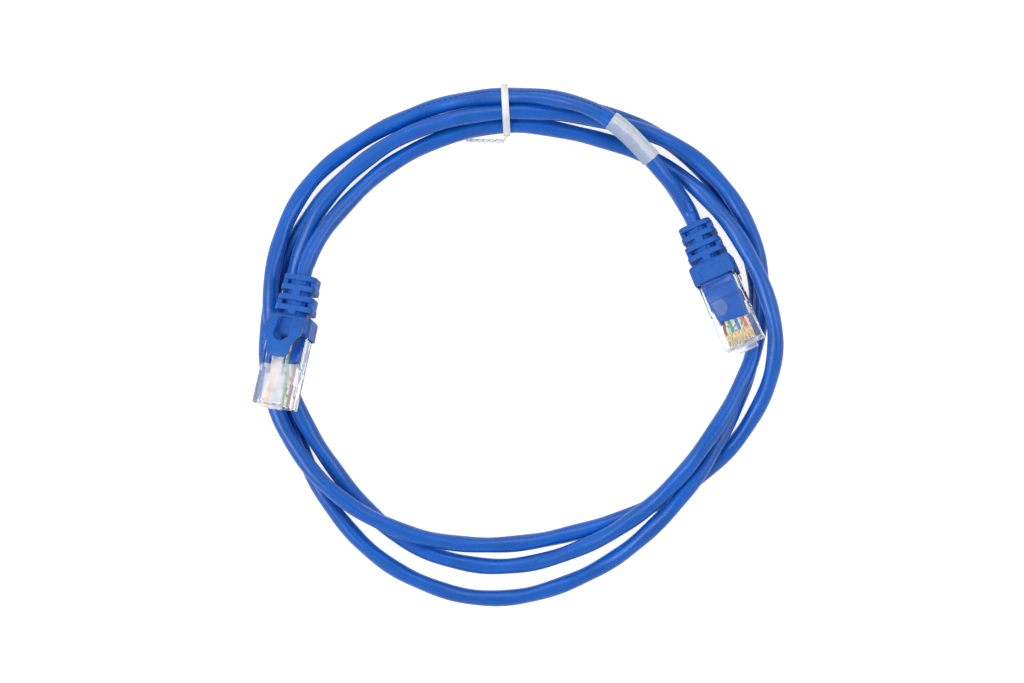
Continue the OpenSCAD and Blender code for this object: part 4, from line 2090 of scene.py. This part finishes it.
@dataclass
class Studio:
    """The camera, lamps, world and floor, in metres; the scale is pixels to the metre."""

    camera_at: tuple[float, float, float] = (0.00026, -0.0081, 0.650)
    floor_scale: float = 3420.0
    picture_width: int = 1024
    sensor: float = 36.0
    world_strength: float = 0.30
    ceiling: float = 0.30
    ceiling_from: Span = (0.55, 0.95)
    floor_half: float = 3.0
    floor_shade: float = 0.55
    floor_glow: float = 0.86
    lamps: tuple[Softbox, ...] = (
        Softbox("key_softbox", 190.0, 39.0, 0.41),
        Softbox("upper_softbox", 92.0, 38.0, 0.15),
        Softbox("right_softbox", 0.0, 40.0, 0.19),
    )

    def build_camera(self) -> None:
        """Builds the camera, straight above the coil."""
        lens = bpy.data.cameras.new("camera")
        lens.sensor_width = self.sensor
        lens.lens = self.sensor * self.camera_at[2] * self.floor_scale / self.picture_width
        lens.clip_start, lens.clip_end = 0.01, 20.0
        camera = bpy.data.objects.new("camera", lens)
        camera.location = self.camera_at
        bpy.context.scene.collection.objects.link(camera)
        bpy.context.scene.camera = camera

    @staticmethod
    def seen(work: NodeWork) -> NodeSocket:
        """Gives 1 for rays that show the background: to the eye, mirrored or through glass.

        Args:
            work: The node tree that asks.

        Returns:
            The socket that gives it.
        """
        path = work.node("LightPath").outputs
        out = path["Is Camera Ray"]
        for name in ("Is Glossy Ray", "Is Transmission Ray"):
            out = work.math("MAXIMUM", out, path[name])
        return out

    def build_world(self) -> None:
        """Builds the pale world, white to the eye, with a dimmer ceiling in reflections."""
        world = bpy.data.worlds.new("studio")
        world.use_nodes = True
        bpy.context.scene.world = world
        work = NodeWork(world.node_tree)
        seen = self.seen(work)
        where = work.node("TexCoord").outputs["Generated"]
        up = work.node("SeparateXYZ", {0: where}).outputs[2]
        overhead = work.math("MULTIPLY", work.ramp(up, *self.ceiling_from), seen)
        back = work.tree.nodes["Background"].inputs
        work.feed(back["Strength"], work.ramp(seen, 0.0, 1.0, (self.world_strength, 1.0)))
        white = (1.0, 1.0, 1.0)
        work.feed(back["Color"], work.mix(overhead, rgba(white), rgba(white, self.ceiling)))

    def build_floor(self) -> None:
        """Builds the white floor, which keeps a faint shadow."""
        span = both_ways(self.floor_half)
        floor = box("studio_floor", span, span, (-0.01, 0))
        p = Paint("studio_floor")
        white = (1.0, 1.0, 1.0)
        diffuse = p.node("BsdfDiffuse", {"Color": rgba(white, self.floor_shade)})
        strength = p.math("MULTIPLY", self.seen(p), self.floor_glow)
        glow = p.node("Emission", {"Color": rgba(white), "Strength": strength})
        both = p.node("AddShader", {0: diffuse.outputs[0], 1: glow.outputs[0]})
        p.feed(p.output.inputs["Surface"], both.outputs[0])
        dress(floor, p.material)

    def build_lights(self) -> None:
        """Builds the lamps, the world and the floor."""
        self.build_world()
        for lamp in self.lamps:
            lamp.build()
        self.build_floor()


def make_finishes() -> dict[str, Material]:
    """Builds every finish that the pieces share.

    Returns:
        The materials by name.
    """
    milky, bed, relief = (0.99, 0.99, 1.0), (0.86, 0.84, 0.80), (0.22, 0.30, 0.62)
    finishes = {
        "boot": MouldedVinyl("boot_vinyl", (0.012, 0.122, 0.520), specks=0.25),
        "insert": MouldedVinyl("insert_vinyl", (0.006, 0.110, 0.520), 0.36, 0.1),
        "clear": ClearPlastic("clear_plastic"),
        # The next finish paints the softboxes' whitish reflection on the housing's roof as a haze;
        # the latch wears it too.
        "milky": ClearPlastic("milky_plastic", milky, 0.08, haze=0.32, cover=0.72),
        "bed": ClearPlastic("bed_plastic", bed, 0.3, haze=1.0, cover=0.85),
        "flap": ClearPlastic("relief_plastic", relief, 0.3, haze=1.0, cover=0.3),
        "contact": Plated("gold_plate", (0.90, 0.66, 0.28), 0.22),
        "film": MilkyFilm(),
        "tie": MouldedVinyl("tie_coating", (0.97, 0.97, 0.97), 0.5, 0.1),
    }
    for name, colour in WIRES.items():
        finishes[name] = Insulation(name, colour, "white" in name)
    return {name: finish.build() for name, finish in finishes.items()}


def dress_inner_nodes(frame: dict) -> None:
    """Gives the pairs inside the jacket and the tie's wire their finishes.

    Args:
        frame: The loaded frame.
    """
    colours = {
        "pair_blue": (0.02, 0.10, 0.45),
        "pair_orange": (0.75, 0.15, 0.02),
        "pair_green": (0.03, 0.32, 0.07),
        "pair_brown": (0.20, 0.07, 0.03),
    }
    for name, colour in colours.items():
        dress(frame["nodes"][name], Insulation(name, colour).build())
    dress(frame["nodes"]["tie_wire"], Plated("tie_steel", (0.55, 0.55, 0.54)).build())


def main() -> None:
    """Builds the scene, piece by piece."""
    logging.basicConfig(level=logging.INFO, format="%(message)s")
    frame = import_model()
    studio = Studio()
    studio.build_camera()
    coil = CordCoil()
    at = coil.polar(angle=162.3, lane=1.63, height=coil.floor + 2.3 * coil.pitch)
    left = PlugPose(End.LEFT, at, roll=12, lift=11, heading=-101.5)
    at = coil.polar(angle=34.3, lane=1.14, height=0.005)
    right = PlugPose(End.RIGHT, at, roll=192, lift=15, heading=-68.7)
    coil.build(left, right)
    LOG.info("cord: %.3f m", run_length(coil.line))
    finishes = make_finishes()
    trees = Trees()
    for pose in (left, right):
        Plug(pose, trees, finishes).build()
    Marker().build(coil.line, finishes["film"])
    TwistTie().build(coil, finishes["tie"])
    dress_inner_nodes(frame)
    studio.build_lights()
    bpy.context.scene.view_settings.view_transform = "Standard"


if __name__ == "__main__":
    main()
